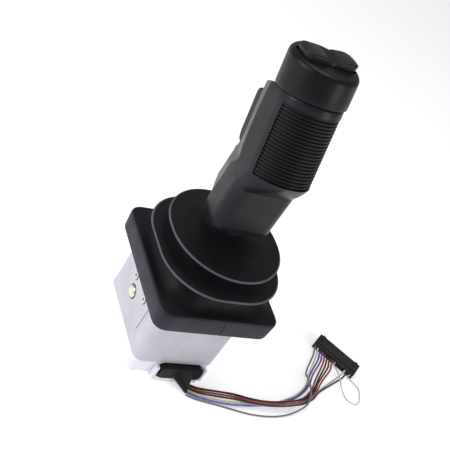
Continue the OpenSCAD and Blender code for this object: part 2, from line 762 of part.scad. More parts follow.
grip_rings = concat(
    [neck_ring(neck_z, 21.5), neck_ring(neck_z + 5, 26), neck_ring(neck_z + 10, 30.5),
     neck_ring(neck_z + 15, 32), neck_ring(96, 32)],
    [for (t = [0, 0.25, 0.5, 0.75, 1]) fan_ring(t)],
    [grip_ring(pad_bottom_s - 0.12, grip_corners(23.8, 14.5, 40)),
     seat_ring(pad_bottom_s - 0.1, grip_corners(23.8, 14.5, 40)),
     seat_ring(-55, grip_corners(24.2, 15, 36)), seat_ring(-50, grip_corners(24.2, 16, 33.2)),
     seat_ring(-42, grip_corners(24, 16.5, 32.5)), seat_ring(-20, grip_corners(23.8, 16.5, 32.5)),
     seat_ring(pad_top_s + 0.1, grip_corners(23.2, 16.3, 32)),
     grip_ring(pad_top_s + 0.12, grip_corners(23.2, 16.3, 32)),
     grip_ring(-1.8, grip_corners(22.8, 16, 31.5)),
     grip_ring(-seal_t, [[palm_r - 0.6, -palm_r + 0.6, palm_r - 1, 8], [22.2, 15, 4, 3], [15.4, 30.9, 5, 4]])]);

module palm_pad() color("#1f1f24") grip_frame() {
    land = rib_pitch * 0.5;
    intersection() {
        translate([-40, pad_edge_y - 40.1, pad_bottom_s - 1]) cube([80, 40, pad_len + 2]);
        translate([0, 0, pad_bottom_s]) rotate_extrude() difference() {
            translate([pad_inner_r, 0]) square([pad_r - pad_inner_r, pad_len]);
            for (i = [0:rib_count - 2])
                translate([pad_r - rib_depth, i * rib_pitch + land]) polygon([
                    [0, rib_pitch * 0.15], [rib_depth + 1, 0],
                    [rib_depth + 1, rib_pitch * 0.5], [0, rib_pitch * 0.35]]);
        }
    }
}

// Slope that lowers the top of the nose outside the head joint
module nose_slope() grip_frame() difference() {
    translate([0, 15.5, -1]) rotate([-17, 0, 0]) translate([-30, 0, 0]) cube([60, 30, 20]);
    translate([0, 0, -12]) cylinder(r = palm_r, h = 40);
}

module grip_body() color("#232328") {
    difference() {
        union() {
            difference() {
                loft(grip_rings);
                grip_frame() translate([0, 0, pocket_bottom + 7]) cylinder(r = grip_cavity_r, h = 80);
            }
            grip_frame() for (s = [-40.5, -32])
                bar_y(grip_cavity_r - 3.5, pocket_y + 1, 0, s, 5);
        }
        nose_slope();
        neck_plug(0, neck_z - 5, neck_cavity_z);
        translate([0, pivot_y, neck_z]) cylinder(d = tube_d + 0.6, h = 66);
        grip_frame() {
            translate([0, 0, -8]) cylinder(r = grip_cavity_r + 2.6, h = 20);
            translate([-trigger_hw - 0.6, pocket_y, pocket_bottom])
                cube([2 * trigger_hw + 1.2, 40, pocket_top - pocket_bottom]);
            bar_x(-17.6, 17.6, trigger_pivot.x, trigger_pivot.y, small_pin_d + 2 * run_clear);
            for (s = [-40.5, -32]) bar_y(grip_cavity_r - 4, pocket_y + 2, 0, s, 1.9);
        }
        for (s = [-1, 1])
            translate([s * 15, 0, neck_cavity_z - 1]) cylinder(d = 3.3, h = 14);
    }
}

module head_seal() color("#0c0c0e") grip_frame() {
    difference() {
        translate([0, 0, -seal_t + 0.02]) cylinder(r = palm_r - 1.4, h = seal_t - 0.04);
        translate([0, 0, -seal_t - 1]) cylinder(r = grip_cavity_r + 2.8, h = seal_t + 2);
    }
}

// ---------- head ----------

rocker_pin_z = -1.8;
rocker_floor = -5.4;
switch_top = rocker_floor - 2.6;

module rocker_outline(grow) {
    intersection() {
        rounded_rect(rocker_l + 2 * grow, rocker_w + 2 * grow, 3 + grow);
        circle(r = rocker_l / 2 + 0.6 + grow);
    }
}

// Half section of the rounded top, widening downwards past the head's own cylinder
module head_profile() {
    r = head_r + 0.4;
    polygon([[0, -60], [r + 9, -60], [r, -head_edge], [r - head_edge, 0], [0, 0]]);
    translate([r - head_edge, -head_edge]) circle(head_edge);
}

module head_cap() color("#232328") {
    difference() {
        union() {
            intersection() {
                grip_frame() cylinder(r = head_r, h = 50);
                head_frame() translate([0, 0.35, 0]) rotate_extrude() head_profile();
            }
            grip_frame() translate([0, 0, -6]) cylinder(r = grip_cavity_r + 2.4, h = 8);
        }
        grip_frame() translate([0, 0, -7]) cylinder(r = grip_cavity_r + 0.6, h = 8);
        grip_frame() translate([0, 0, 0.8]) cylinder(r = head_r - 3, h = 12.6);
        head_frame() {
            translate([0, 0, -16]) cylinder(r = 18.5, h = 16 + switch_top);
            translate([0, 0, rocker_floor]) linear_extrude(20) rocker_outline(0.6);
            translate([-5, -5.2, rocker_floor - 8]) cube([10, 10.4, 12]);
            bar_y(-rocker_w / 2 - 4, rocker_w / 2 + 4, 0, rocker_pin_z, small_pin_d + 2 * run_clear);
        }
    }
}

module rocker_pin() color("#9a9ca0") head_frame()
    bar_y(-rocker_w / 2 - 3.8, rocker_w / 2 + 3.8, 0, rocker_pin_z, small_pin_d);

// Side view of the rocker, right half: [x, z]
rocker_side = [[0, 2.2], [5.8, 5.2], [rocker_l / 2 - 1.6, 5], [rocker_l / 2, 4],
    [rocker_l / 2 - 0.9, -0.6], [7, -2.4], [3.6, -4.6]];

module rocker() color("#2a2a30") head_frame() {
    difference() {
        intersection() {
            rotate([90, 0, 0]) linear_extrude(rocker_w + 2, center = true)
                polygon(concat(rocker_side, [for (i = [6:-1:1]) [-rocker_side[i].x, rocker_side[i].y]]));
            translate([0, 0, -10]) linear_extrude(20) rocker_outline(0);
        }
        bar_y(-20, 20, 0, rocker_pin_z, small_pin_d + 2 * run_clear);
    }
    translate([-1.5, -4, -14]) cube([3, 8, 10]);
}

module rocker_switch() color("#17171a") head_frame() {
    difference() {
        translate([-13, -7.5, switch_top - 10.2]) cube([26, 15, 10.1]);
        translate([-4.4, -5, switch_top - 8]) cube([8.8, 10, 12]);
    }
    for (x = [-9, 0, 9])
        translate([x - 1, -0.4, switch_top - 14]) cube([2, 0.8, 4]);
}

// ---------- trigger ----------

// Side view of the trigger paddle: [y, along the grip]
trigger_side = [[28, -15.2], [30, -13.6], [38.5, -13.6], [41, -14.8], [trigger_front, -18],
    [trigger_front, -48], [40.6, -53.5], [36, -56.6], [27, -56.6], [23.4, -54], [23.4, -47]];

module trigger() color("#26262b") grip_frame() {
    inner_w = 2 * (trigger_hw - trigger_wall);
    difference() {
        intersection() {
            rotate([90, 0, 90]) linear_extrude(2 * trigger_hw, center = true) polygon(trigger_side);
            translate([0, trigger_front - 15, -70]) linear_extrude(70)
                rounded_rect(2 * trigger_hw, 30, 3.4);
        }
        difference() {
            translate([-inner_w / 2, 10, -54]) cube([inner_w, trigger_front - trigger_wall - 10, 38.4]);
            translate([-4, plunger_tip + 0.3, plunger_s - 2.5]) cube([8, 10, 5]);
            for (s = [-1, 1])
                bar_x(min(s * (inner_w / 2 - 2.5), s * (inner_w / 2 + 1)),
                    max(s * (inner_w / 2 - 2.5), s * (inner_w / 2 + 1)),
                    trigger_pivot.x, trigger_pivot.y, 7);
        }
        bar_x(-30, 30, trigger_pivot.x, trigger_pivot.y, small_pin_d + 2 * run_clear);
    }
}

module trigger_pin() color("#9a9ca0") grip_frame()
    bar_x(-17.4, 17.4, trigger_pivot.x, trigger_pivot.y, small_pin_d);

module trigger_switch() color("#17171a") grip_frame() {
    y0 = pocket_y + 0.05;
    difference() {
        translate([-3.3, y0, -44]) cube([6.6, 10, 20.4]);
        translate([-1.7, y0 + 1.5, plunger_s - 1.7]) cube([3.4, 20, 3.4]);
        for (s = [-40.5, -32]) bar_y(y0 - 1, y0 + 20, 0, s, 2.2);
    }
}

module trigger_switch_screws() color("#9a9ca0") grip_frame()
    for (s = [-40.5, -32]) {
        bar_y(pocket_y + 10.08, pocket_y + 11.3, 0, s, 3.6);
        bar_y(grip_cavity_r - 3, pocket_y + 10.2, 0, s, 1.8);
    }

module trigger_plunger() color("#c94f3a") grip_frame()
    translate([-1.5, pocket_y + 6.2, plunger_s - 1.5]) cube([3, plunger_tip - pocket_y - 6.2, 3]);

module trigger_spring() color("#b9bbc0") grip_frame() {
    y0 = pocket_y + 0.5;
    y1 = trigger_front - trigger_wall - 0.5;
    turns = 5;
    tube([for (i = [0:turns * 10])
        [2.8 * cos(36 * i), mix(y0, y1, i / turns / 10), -19.6 + 2.8 * sin(36 * i)]], 0.8, [0, 1, 0], 6);
}

// ---------- plug and wires ----------

module plug_housing() color("#1b1b1e") plug_frame() {
    difference() {
        translate([-plug_size.x / 2, -plug_size.y / 2, 0]) cube(plug_size);
        for (i = [0:plug_ways - 1]) {
            x = (i - (plug_ways - 1) / 2) * plug_pitch;
            translate([x - 0.95, -plug_size.y / 2 - 1, 2.05]) cube([1.9, 5, 1.9]);
            translate([x - 0.6, -plug_size.y / 2 + 3, 2.4]) cube([1.2, 20, 1.2]);
            translate([x - 0.7, -plug_size.y / 2 + 2, 3]) cube([1.4, 1.6, 5]);
        }
    }
    for (s = [-1, 1])
        translate([s * (plug_size.x / 2 - 4) - 1.5, plug_size.y / 2 - 6, plug_size.z - eps])
            cube([3, 6, 0.8]);
}

module plug_terminals() color("#d8c07a") plug_frame()
    for (i = concat([for (k = [0:8]) k], [12, 13, 14]))
        translate([(i - (plug_ways - 1) / 2) * plug_pitch, 0, 3]) {
            translate([-0.5, -plug_size.y / 2 + 3.2, -0.5]) cube([1, 11, 1]);
            translate([-0.7, -plug_size.y / 2 + 1.5, -0.7]) cube([1.4, 2, 1.4]);
        }

// Height between the two layers of the bundle
layer_step = 1.75;
// Middle of the wire bundle on the surface, from the grommet towards the plug
spine = [[15.5, -50.5], [22, -53.5], [31, -55.5], [42, -57.5], [55, -60], [68, -62], [82, -63],
    [97, -62.5], [111, -60], [124, -55.5], [135, -49], [144, -41], [151, -32]];
// Spacing of neighbouring wires across the bundle at each of those points
lane_pitch = [1.05, 1.1, 1.2, 1.25, 1.2, 1.1, 1.05, 1.05, 1.05, 1.1, 1.2, 1.4, 1.8];
// Offset to the left of the blue and of the red group, and lift of the red group where it crosses
blue_shift = [-3.6, -3.7, -4.2, -4.4, -3.4, -1.5, 0.2, 1.5, 2.9, 4, 4.6, 5, 5.8];
red_shift = [2.6, 2.8, 3.2, 3.2, 2.4, 1, 0, -0.6, -1.6, -2.4, -2.8, -3.2, -4];
red_lift = [0, 0, 0, 1, 3.2, 3.6, 3.6, 3.6, 3.6, 1.8, 0, 0, 0];
// Offset and lift of the single grey wire that leaves the bundle and crosses it near the plug
grey_shift = [-6.2, -6.2, -6.6, -7.2, -8.2, -9.4, -10, -9.8, -9, -7.5, -1, 6.5, 10];
grey_lift = [0, 0, 0, 0, 0, 0, 0, 0, 1, 4.6, 5.6, 4.6, 0.6];

// Position of a plug way at the back face of the plug, with the plug's row along its own X
function way(j, back = 0, side = 0) =
    let (x = (j - (plug_ways - 1) / 2) * plug_pitch + side, y = -plug_size.y / 2 + 1.4 - back)
    [plug_origin.x + x * cos(plug_turn) - y * sin(plug_turn),
     plug_origin.y + x * sin(plug_turn) + y * cos(plug_turn)];

function left_of(i) =
    let (m = len(spine), t = unit(spine[min(i + 1, m - 1)] - spine[max(i - 1, 0)])) [-t.y, t.x];

// Route of the wire in plug way j: lane counts from the left in its group
function wire_route(j, shift, lift, lane, stations) =
    concat(
        [for (i = [0:stations - 1])
            let (p = spine[i] + (shift[i] - lane * lane_pitch[i]) * left_of(i))
            [p.x, p.y, floor_z + wire_d / 2 + 0.1 + lift[i]
                + abs(lane % 2) * layer_step]],
        [for (b = [[12, 0.9], [6, 1.8], [2, 3], [0, 3]])
            let (p = way(j, b[0], max(b[0] - 2, 0) * (j > 10 ? -0.14 : 0.34)))
            [p.x, p.y, floor_z + b[1]]]);

no_lift = [for (i = spine) 0];

module wire(j, shift, lift, lane, stations = 13)
    tube(smooth(wire_route(j, shift, lift, lane, stations), 2), wire_d);

module wire_grey() color("#8d8f92") wire(0, grey_shift, grey_lift, 0);
module wire_yellow() color("#d8d27a") wire(1, blue_shift, no_lift, -1);
module wire_blue() color("#2c3fa8") wire(2, blue_shift, no_lift, 0);
module wire_violet() color("#6a4fa0") wire(3, blue_shift, no_lift, 1);
module wire_red() color("#a83a2c") wire(4, red_shift, red_lift, -2);
module wire_black() color("#1a1a1c") wire(5, red_shift, red_lift, -1);
module wire_maroon() color("#6b1a20") wire(6, red_shift, red_lift, 0);
module wire_pink() color("#c46a6a") wire(7, red_shift, red_lift, 1);
module wire_white() color("#d9d9d9") wire(12, red_shift, red_lift, 2, 12);
module wire_brown() color("#4a3426") wire(13, red_shift, red_lift, 3, 12);

jumper_route = [
    [177.5, -24, 3.6],
    [175.5, -33, 5],
    [174.5, -43, 3],
    [177, -51, 0.9],
    [183, -56.5, 0.9],
    [189.5, -54.5, 0.9],
    [194, -47, 0.9],
    [196, -38, 0.9]];

function end_of(j, back, h) = let (p = way(j, back)) [p.x, p.y, floor_z + h];

module jumper_wire() color("#cfcfcf")
    tube(smooth(concat([end_of(8, 0, 3), end_of(8, 2, 3), end_of(8, 5, 3.2)],
        [for (p = jumper_route) [p.x, p.y, floor_z + p.z]],
        [end_of(14, 5, 2), end_of(14, 2, 3), end_of(14, 0, 3)]), 3), 1.2);

housing();
bottom_cover();
cover_gasket();
cover_screws();
boot();
cable_grommet();
shaft_bushings();
spring_post();
position_sensor();
sensor_screws();
control_board();
board_screws();
board_header();
inner_loom();
pivot_shaft();
lever_hub();
hub_pins();
lever_tube();
centring_spring();
sensor_magnet();
neck_adapter();
adapter_screws();
boot_clamp();
grip_cable();
grip_body();
palm_pad();
head_seal();
head_cap();
rocker_switch();
rocker_pin();
rocker();
trigger();
trigger_pin();
trigger_switch();
trigger_switch_screws();
trigger_plunger();
trigger_spring();
plug_housing();
plug_terminals();
wire_grey();
wire_yellow();
wire_blue();
wire_violet();
wire_red();
wire_black();
wire_maroon();
wire_pink();
wire_white();
wire_brown();
jumper_wire();
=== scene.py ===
import math

import bmesh
import bpy
from mathutils import Matrix, Vector


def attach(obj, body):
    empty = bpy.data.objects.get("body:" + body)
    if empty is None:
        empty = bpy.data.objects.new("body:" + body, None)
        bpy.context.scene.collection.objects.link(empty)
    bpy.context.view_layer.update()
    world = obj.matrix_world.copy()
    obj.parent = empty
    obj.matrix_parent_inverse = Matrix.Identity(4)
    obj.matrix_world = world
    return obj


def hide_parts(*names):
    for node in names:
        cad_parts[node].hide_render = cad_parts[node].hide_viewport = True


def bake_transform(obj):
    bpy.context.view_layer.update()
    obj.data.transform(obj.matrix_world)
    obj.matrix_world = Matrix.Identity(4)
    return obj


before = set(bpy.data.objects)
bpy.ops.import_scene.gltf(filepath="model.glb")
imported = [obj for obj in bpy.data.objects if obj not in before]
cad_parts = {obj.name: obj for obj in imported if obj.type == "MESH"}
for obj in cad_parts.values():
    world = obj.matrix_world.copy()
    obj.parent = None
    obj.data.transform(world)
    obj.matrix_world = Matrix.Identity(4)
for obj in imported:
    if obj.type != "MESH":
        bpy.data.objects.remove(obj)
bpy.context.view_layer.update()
MM = 0.001

# ---------- camera: the photograph's viewing angle ----------

cam_data = bpy.data.cameras.new("camera")
cam = bpy.data.objects.new("camera", cam_data)
bpy.context.scene.collection.objects.link(cam)
right = Vector((0.8478, -0.2649, 0.4595)).normalized()
ahead = Vector((0.5144, 0.6215, -0.5908)).normalized()
up = right.cross(ahead).normalized()
cam.matrix_world = Matrix((
    (right.x, up.x, -ahead.x, -0.3714),
    (right.y, up.y, -ahead.y, -0.4408),
    (right.z, up.z, -ahead.z, 0.4597),
    (0, 0, 0, 1)))
cam_data.sensor_width = 36
cam_data.sensor_fit = "HORIZONTAL"
cam_data.lens = 960.4 * 36 / 450
cam_data.shift_x = 13.5 / 450
cam_data.shift_y = 18.2 / 450
cam_data.clip_start = 0.01
cam_data.clip_end = 20
bpy.context.scene.camera = cam
bpy.context.scene.view_settings.view_transform = "Standard"


# ---------- materials ----------

class Nodes:
    """Builds one procedural material round a Principled shader."""

    def __init__(self, name, rough, metal=0.0, **sockets):
        self.m = bpy.data.materials.new(name)
        self.m.use_nodes = True
        self.t = self.m.node_tree
        self.b = self.t.nodes["Principled BSDF"]
        self.b.inputs["Roughness"].default_value = rough
        self.b.inputs["Metallic"].default_value = metal
        for k, v in sockets.items():
            self.b.inputs[k.replace("_", " ")].default_value = v
        self.co = self.t.nodes.new("ShaderNodeTexCoord").outputs["Object"]

    def new(self, kind, **props):
        n = self.t.nodes.new(kind)
        for k, v in props.items():
            setattr(n, k, v)
        return n

    def noise(self, scale, detail=4.0, rough=0.55, stretch=None):
        n = self.new("ShaderNodeTexNoise")
        n.inputs["Scale"].default_value = scale
        n.inputs["Detail"].default_value = detail
        n.inputs["Roughness"].default_value = rough
        co = self.co
        if stretch:
            mp = self.new("ShaderNodeMapping")
            mp.inputs["Scale"].default_value = stretch
            self.t.links.new(co, mp.inputs["Vector"])
            co = mp.outputs["Vector"]
        self.t.links.new(co, n.inputs["Vector"])
        return n.outputs["Fac"]

    def ramp(self, fac, stops):
        r = self.new("ShaderNodeValToRGB")
        e = r.color_ramp.elements
        while len(e) < len(stops):
            e.new(0.5)
        for i, (p, c) in enumerate(stops):
            e[i].position = p
            e[i].color = (*c, 1) if hasattr(c, "__len__") else (c, c, c, 1)
        self.t.links.new(fac, r.inputs["Fac"])
        return r.outputs["Color"]

    def mix(self, fac, a, b, blend="MIX"):
        n = self.new("ShaderNodeMix", data_type="RGBA", blend_type=blend)
        for s, v in ((0, fac), (6, a), (7, b)):
            if hasattr(v, "is_linked") or hasattr(v, "links"):
                self.t.links.new(v, n.inputs[s])
            else:
                n.inputs[s].default_value = v if s == 0 else (*v, 1)
        return n.outputs[2]

    def color(self, out):
        self.t.links.new(out, self.b.inputs["Base Color"])

    def rough(self, out):
        self.t.links.new(out, self.b.inputs["Roughness"])

    def bump(self, fac, strength, distance, normal=None):
        n = self.new("ShaderNodeBump")
        n.inputs["Strength"].default_value = strength
        n.inputs["Distance"].default_value = distance
        self.t.links.new(fac, n.inputs["Height"])
        if normal is not None:
            self.t.links.new(normal, n.inputs["Normal"])
        self.t.links.new(n.outputs["Normal"], self.b.inputs["Normal"])
        return n.outputs["Normal"]

    def edges(self, lo=0.52, hi=0.62):
        """0 on faces, 1 on convex edges of dense meshes."""
        g = self.new("ShaderNodeNewGeometry")
        return self.ramp(g.outputs["Pointiness"], [(lo, 0.0), (hi, 1.0)])


DARK_GLOSS = 0.22


def tones(base, low, high):
    """Two strengths of one colour."""
    return [c * low for c in base], [min(1, c * high) for c in base]


def plastic(name, base, rough=0.42, grain=2600, strength=0.12, edge_highlight=None, spread=0.25):
    """Moulded plastic: fine spark-erosion grain, slow colour drift, and convex edges lightened as a painted
    highlight.
    """
    n = Nodes(name, rough, Coat_Roughness=0.3, Specular_IOR_Level=DARK_GLOSS)
    slow = n.noise(28, 3)
    lo = [c * (1 - spread) for c in base]
    hi = [c * (1 + spread) for c in base]
    col = n.ramp(slow, [(0.3, lo), (0.7, hi)])
    # convex edges get a lighter colour: a painted highlight
    if edge_highlight:
        col = n.mix(n.edges(), col, n.ramp(slow, [(0.3, edge_highlight), (0.7, [c * 1.2 for c in edge_highlight])]))
    n.color(col)
    n.rough(n.ramp(n.noise(160, 4), [(0.3, rough - 0.05), (0.7, rough + 0.07)]))
    n.bump(n.noise(grain, 2), strength, 0.0002)
    return n.m


def rubber(name, base, rough=0.62, grain=1900, strength=0.2, dust=(0.09, 0.09, 0.11)):
    """Moulded rubber: matte, a little dusty bloom, softly uneven."""
    n = Nodes(name, rough, Specular_IOR_Level=DARK_GLOSS)
    cloud = n.noise(36, 6, 0.6)
    col = n.ramp(cloud, [(0.25, [c * 0.75 for c in base]), (0.75, [c * 1.35 for c in base])])
    speck = n.ramp(n.noise(420, 3), [(0.66, 0.0), (0.8, 0.35)])
    n.color(n.mix(speck, col, dust))
    n.rough(n.ramp(n.noise(90, 4), [(0.3, rough - 0.06), (0.7, rough + 0.08)]))
    fine = n.bump(n.noise(grain, 3), strength, 0.0002)
    n.bump(n.noise(120, 4), 0.12, 0.0006, fine)
    return n.m


def metal(name, base, rough=0.35, stretch=None, grain=900, strength=0.08, spread=0.12):
    """Turned or drawn metal: fine directional scratches and slight tarnish."""
    n = Nodes(name, rough, 1.0)
    cloud = n.noise(45, 4)
    dull, bright = tones(base, 1 - spread, 1 + spread)
    n.color(n.ramp(cloud, [(0.25, dull), (0.75, bright)]))
    lines = n.noise(grain, 3, 0.6, stretch)
    n.rough(n.ramp(lines, [(0.3, rough - 0.08), (0.7, rough + 0.12)]))
    n.bump(lines, strength, 0.0001)
    return n.m


def cast(name, base, rough=0.5):
    """Cast, lightly blasted aluminium: cloudy tone, stains and pores."""
    n = Nodes(name, rough, 0.25)
    cloud = n.noise(30, 7, 0.65)
    dull, bright = tones(base, 0.86, 1.06)
    col = n.ramp(cloud, [(0.3, dull), (0.52, base), (0.75, bright)])
    stain = n.ramp(n.noise(75, 6, 0.7), [(0.6, 0.0), (0.78, 0.35)])
    col = n.mix(stain, col, [c * 0.72 for c in base])
    n.color(col)
    n.rough(n.ramp(n.noise(140, 5), [(0.3, rough - 0.08), (0.7, rough + 0.1)]))
    pores = n.bump(n.noise(1500, 4, 0.7), 0.22, 0.0002)
    n.bump(n.noise(170, 5), 0.15, 0.0005, pores)
    return n.m


def sheath(name, base, rough=0.33):
    """Extruded wire insulation."""
    n = Nodes(name, rough, Coat_Weight=0.15, Coat_Roughness=0.25)
    dull, bright = tones(base, 0.85, 1.15)
    n.color(n.ramp(n.noise(140, 3), [(0.3, dull), (0.7, bright)]))
    n.bump(n.noise(1400, 2), 0.1, 0.0001)
    return n.m


def board(name):
    """Lacquered circuit board with copper tracks under the mask."""
    n = Nodes(name, 0.35, Coat_Weight=0.3)
    v = n.new("ShaderNodeTexVoronoi", distance="MANHATTAN", feature="DISTANCE_TO_EDGE")
    v.inputs["Scale"].default_value = 210
    n.t.links.new(n.co, v.inputs["Vector"])
    tracks = n.ramp(v.outputs["Distance"], [(0.08, 1.0), (0.12, 0.0)])
    n.color(n.mix(tracks, (0.015, 0.09, 0.04), (0.04, 0.2, 0.08)))
    n.bump(tracks, 0.2, 0.0001)
    return n.m


M = {
    # for these plastics the last colour is the painted highlight on their convex edges
    "grip": plastic("grip_satin_plastic", (0.008, 0.008, 0.012), 0.36, 2400, 0.1, (0.02, 0.02, 0.028)),
    "cap": plastic("cap_satin_plastic", (0.004, 0.004, 0.005), 0.4, 2400, 0.12, (0.012, 0.012, 0.015)),
    "rocker": plastic("rocker_satin_plastic", (0.012, 0.012, 0.015), 0.38, 2400, 0.1, (0.03, 0.03, 0.035)),
    "trigger": plastic("trigger_satin_plastic", (0.014, 0.014, 0.019), 0.4, 2400, 0.1, (0.03, 0.03, 0.038)),
    "pad": rubber("pad_rubber", (0.004, 0.004, 0.005), 0.5, dust=(0.02, 0.02, 0.025)),
    "boot": rubber("boot_rubber", (0.004, 0.004, 0.006), 0.55, dust=(0.015, 0.015, 0.02)),
    # paler rubber on the fin rims: a painted highlight along their lips
    "rim_highlight": rubber("boot_rim_painted_highlight", (0.1, 0.1, 0.115), 0.5, dust=(0.2, 0.2, 0.22)),
    "skirt": rubber("boot_skirt_rubber", (0.018, 0.02, 0.03), 0.5, dust=(0.04, 0.04, 0.055)),
    "black_rubber": rubber("grommet_rubber", (0.006, 0.006, 0.007), 0.5, dust=(0.03, 0.03, 0.03)),
    "seal": rubber("seal_rubber", (0.008, 0.008, 0.009), 0.6),
    "cable": rubber("cable_rubber", (0.02, 0.02, 0.022), 0.55),
    "cast": cast("cast_aluminium", (0.56, 0.56, 0.62)),
    "cover": plastic("cover_plastic", (0.84, 0.84, 0.9), 0.4, 1800, 0.1, None, 0.03),
    "screw": metal("plated_screw", (0.62, 0.62, 0.64), 0.3),
    "dark_screw": metal("black_screw", (0.2, 0.2, 0.21), 0.4),
    "pin": metal("ground_pin", (0.6, 0.6, 0.62), 0.25, (1, 14, 14)),
    "shaft": metal("turned_shaft_end", (0.72, 0.68, 0.54), 0.34, (18, 1, 1)),
    "bronze": metal("sintered_bronze", (0.5, 0.36, 0.18), 0.5, None, 1500, 0.2),
    "hub": metal("machined_aluminium", (0.68, 0.69, 0.71), 0.36, (1, 1, 10)),
    "tube": metal("drawn_tube", (0.62, 0.63, 0.65), 0.3, (10, 10, 1)),
    "spring": metal("spring_wire", (0.42, 0.43, 0.46), 0.32),
    "magnet": metal("nickel_magnet", (0.6, 0.6, 0.58), 0.2),
    "brass": metal("tinned_terminal", (0.75, 0.66, 0.42), 0.3),
    "switch": plastic("switch_plastic", (0.02, 0.02, 0.022), 0.5),
    "header": plastic("header_plastic", (0.8, 0.78, 0.72), 0.5, 1800, 0.1, None, 0.04),
    "plunger": plastic("plunger_plastic", (0.5, 0.12, 0.06), 0.45, 1800, 0.1, None, 0.1),
    "plug": plastic("plug_plastic", (0.03, 0.03, 0.033), 0.45, 2000, 0.15),
    "board": board("board_lacquer"),
}
WIRES = {
    "grey": (0.2, 0.2, 0.22), "yellow": (0.75, 0.74, 0.5), "blue": (0.06, 0.08, 0.42),
    "violet": (0.18, 0.13, 0.42), "red": (0.36, 0.03, 0.025), "black": (0.012, 0.012, 0.014),
    "maroon": (0.16, 0.015, 0.02), "pink": (0.4, 0.06, 0.06), "white": (0.7, 0.7, 0.74),
    "brown": (0.035, 0.024, 0.02)}

NODE_MATERIALS = {
    "housing": "cast", "bottom_cover": "cover", "cover_gasket": "seal", "cover_screws": "dark_screw",
    "cable_grommet": "black_rubber", "shaft_bushings": "bronze", "spring_post": "pin",
    "position_sensor": "switch", "sensor_screws": "screw", "control_board": "board",
    "board_screws": "screw", "board_header": "header", "inner_loom": "cable", "pivot_shaft": "shaft",
    "lever_hub": "hub", "hub_pins": "pin", "lever_tube": "tube", "centring_spring": "spring",
    "sensor_magnet": "magnet", "neck_adapter": "hub", "adapter_screws": "dark_screw",
    "boot_clamp": "spring", "grip_cable": "cable", "head_seal": "seal", "rocker_switch": "switch",
    "rocker_pin": "pin", "trigger_pin": "pin", "trigger_switch": "switch",
    "trigger_switch_screws": "screw", "trigger_plunger": "plunger", "trigger_spring": "spring",
    "plug_housing": "plug", "plug_terminals": "brass"}
for name, key in NODE_MATERIALS.items():
    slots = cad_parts[name].data.materials
    if not slots:
        slots.append(M[key])
    for i in range(len(slots)):
        slots[i] = M[key]


# ---------- mesh helpers ----------

def mesh_object(name, verts, faces, mats):
    """A mesh object from millimetre points, with its faces turned outwards."""
    me = bpy.data.meshes.new(name)
    me.from_pydata([[c * MM for c in v] for v in verts], [], faces)
    bm = bmesh.new()
    bm.from_mesh(me)
    bmesh.ops.recalc_face_normals(bm, faces=bm.faces)
    bm.to_mesh(me)
    bm.free()
    o = bpy.data.objects.new(name, me)
    bpy.context.scene.collection.objects.link(o)
    for m in mats:
        me.materials.append(m)
    return o


def add(name, verts, faces, mats, body, slot, replaces=(), angle=40, face_mats=None):
    """A finished mesh piece; with no body it stays loose, so that it can be cut before it is attached."""
    o = mesh_object(name, verts, faces, mats)
    if face_mats:
        for p, k in zip(o.data.polygons, face_mats):
            p.material_index = k
    smooth(o, angle)
    if body:
        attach(o, body)
    if replaces:
        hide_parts(*replaces)
    return o


def smooth(o, angle):
    """Smooth shading, with edges sharper than the angle (degrees) kept."""
    me = o.data
    me.polygons.foreach_set("use_smooth", [True] * len(me.polygons))
    me.set_sharp_from_angle(angle=math.radians(angle))


def stack(rings, caps=(True, True)):
    """Points and faces that join closed rings of equal length."""
    n = len(rings[0])
    verts = [v for r in rings for v in r]
    faces = []
    for j in range(len(rings) - 1):
        for i in range(n):
            k = (i + 1) % n
            faces.append((j * n + i, j * n + k, (j + 1) * n + k, (j + 1) * n + i))
    if caps[0]:
        faces.append(tuple(range(n - 1, -1, -1)))
    if caps[1]:
        faces.append(tuple((len(rings) - 1) * n + i for i in range(n)))
    return verts, faces


def between(a, b, c, d, t):
    return [0.5 * (2 * q + (r - p) * t + (2 * p - 5 * q + 4 * r - s) * t * t
                   + (3 * q - p - 3 * r + s) * t ** 3) for p, q, r, s in zip(a, b, c, d)]


def curve(p, k):
    """Catmull-Rom curve through points, with k steps a stretch."""
    first = [2 * a - b for a, b in zip(p[0], p[1])]
    last = [2 * a - b for a, b in zip(p[-1], p[-2])]
    q = [first, *p, last]
    out = [between(*q[i:i + 4], t / k) for i in range(len(p) - 1) for t in range(k)]
    return out + [list(p[-1])]


def corner(a, b, c, r, n):
    """Points of an arc that rounds corner b."""
    a, b, c = Vector(a), Vector(b), Vector(c)
    u, v = (a - b).normalized(), (c - b).normalized()
    half = u.angle(v) / 2
    centre = b + (u + v).normalized() * r / math.sin(half)
    p, q = b + u * r / math.tan(half), b + v * r / math.tan(half)
    a0 = math.atan2(*(p - centre).yx)
    turn = (math.atan2(*(q - centre).yx) - a0 + math.pi) % (2 * math.pi) - math.pi
    return [(centre.x + r * math.cos(a0 + turn * i / n), centre.y + r * math.sin(a0 + turn * i / n))
            for i in range(n + 1)]


def outline(c, steps):
    """Closed outline, symmetric about x = 0, from right-hand corners (x, y, radius)."""
    pts = [(x, y, r, s) for (x, y, r), s in zip(c, steps)]
    pts += [(-x, y, r, s) for x, y, r, s in reversed(pts)]
    k = len(pts)
    return [v for i in range(k)
            for v in corner(pts[i - 1][:2], pts[i][:2], pts[(i + 1) % k][:2], pts[i][2], pts[i][3])]


def apply(o):
    """Applies a mesh piece's modifiers."""
    dg = bpy.context.evaluated_depsgraph_get()
    me = bpy.data.meshes.new_from_object(o.evaluated_get(dg))
    o.modifiers.clear()
    o.data = me


def cut(o, cutters, angle=40):
    """Removes other solids from a piece."""
    for c in cutters:
        m = o.modifiers.new("cut", "BOOLEAN")
        m.operation = "DIFFERENCE"
        m.solver = "EXACT"
        m.object = c
        bpy.context.view_layer.update()
        apply(o)
        bpy.data.objects.remove(c)
    smooth(o, angle)


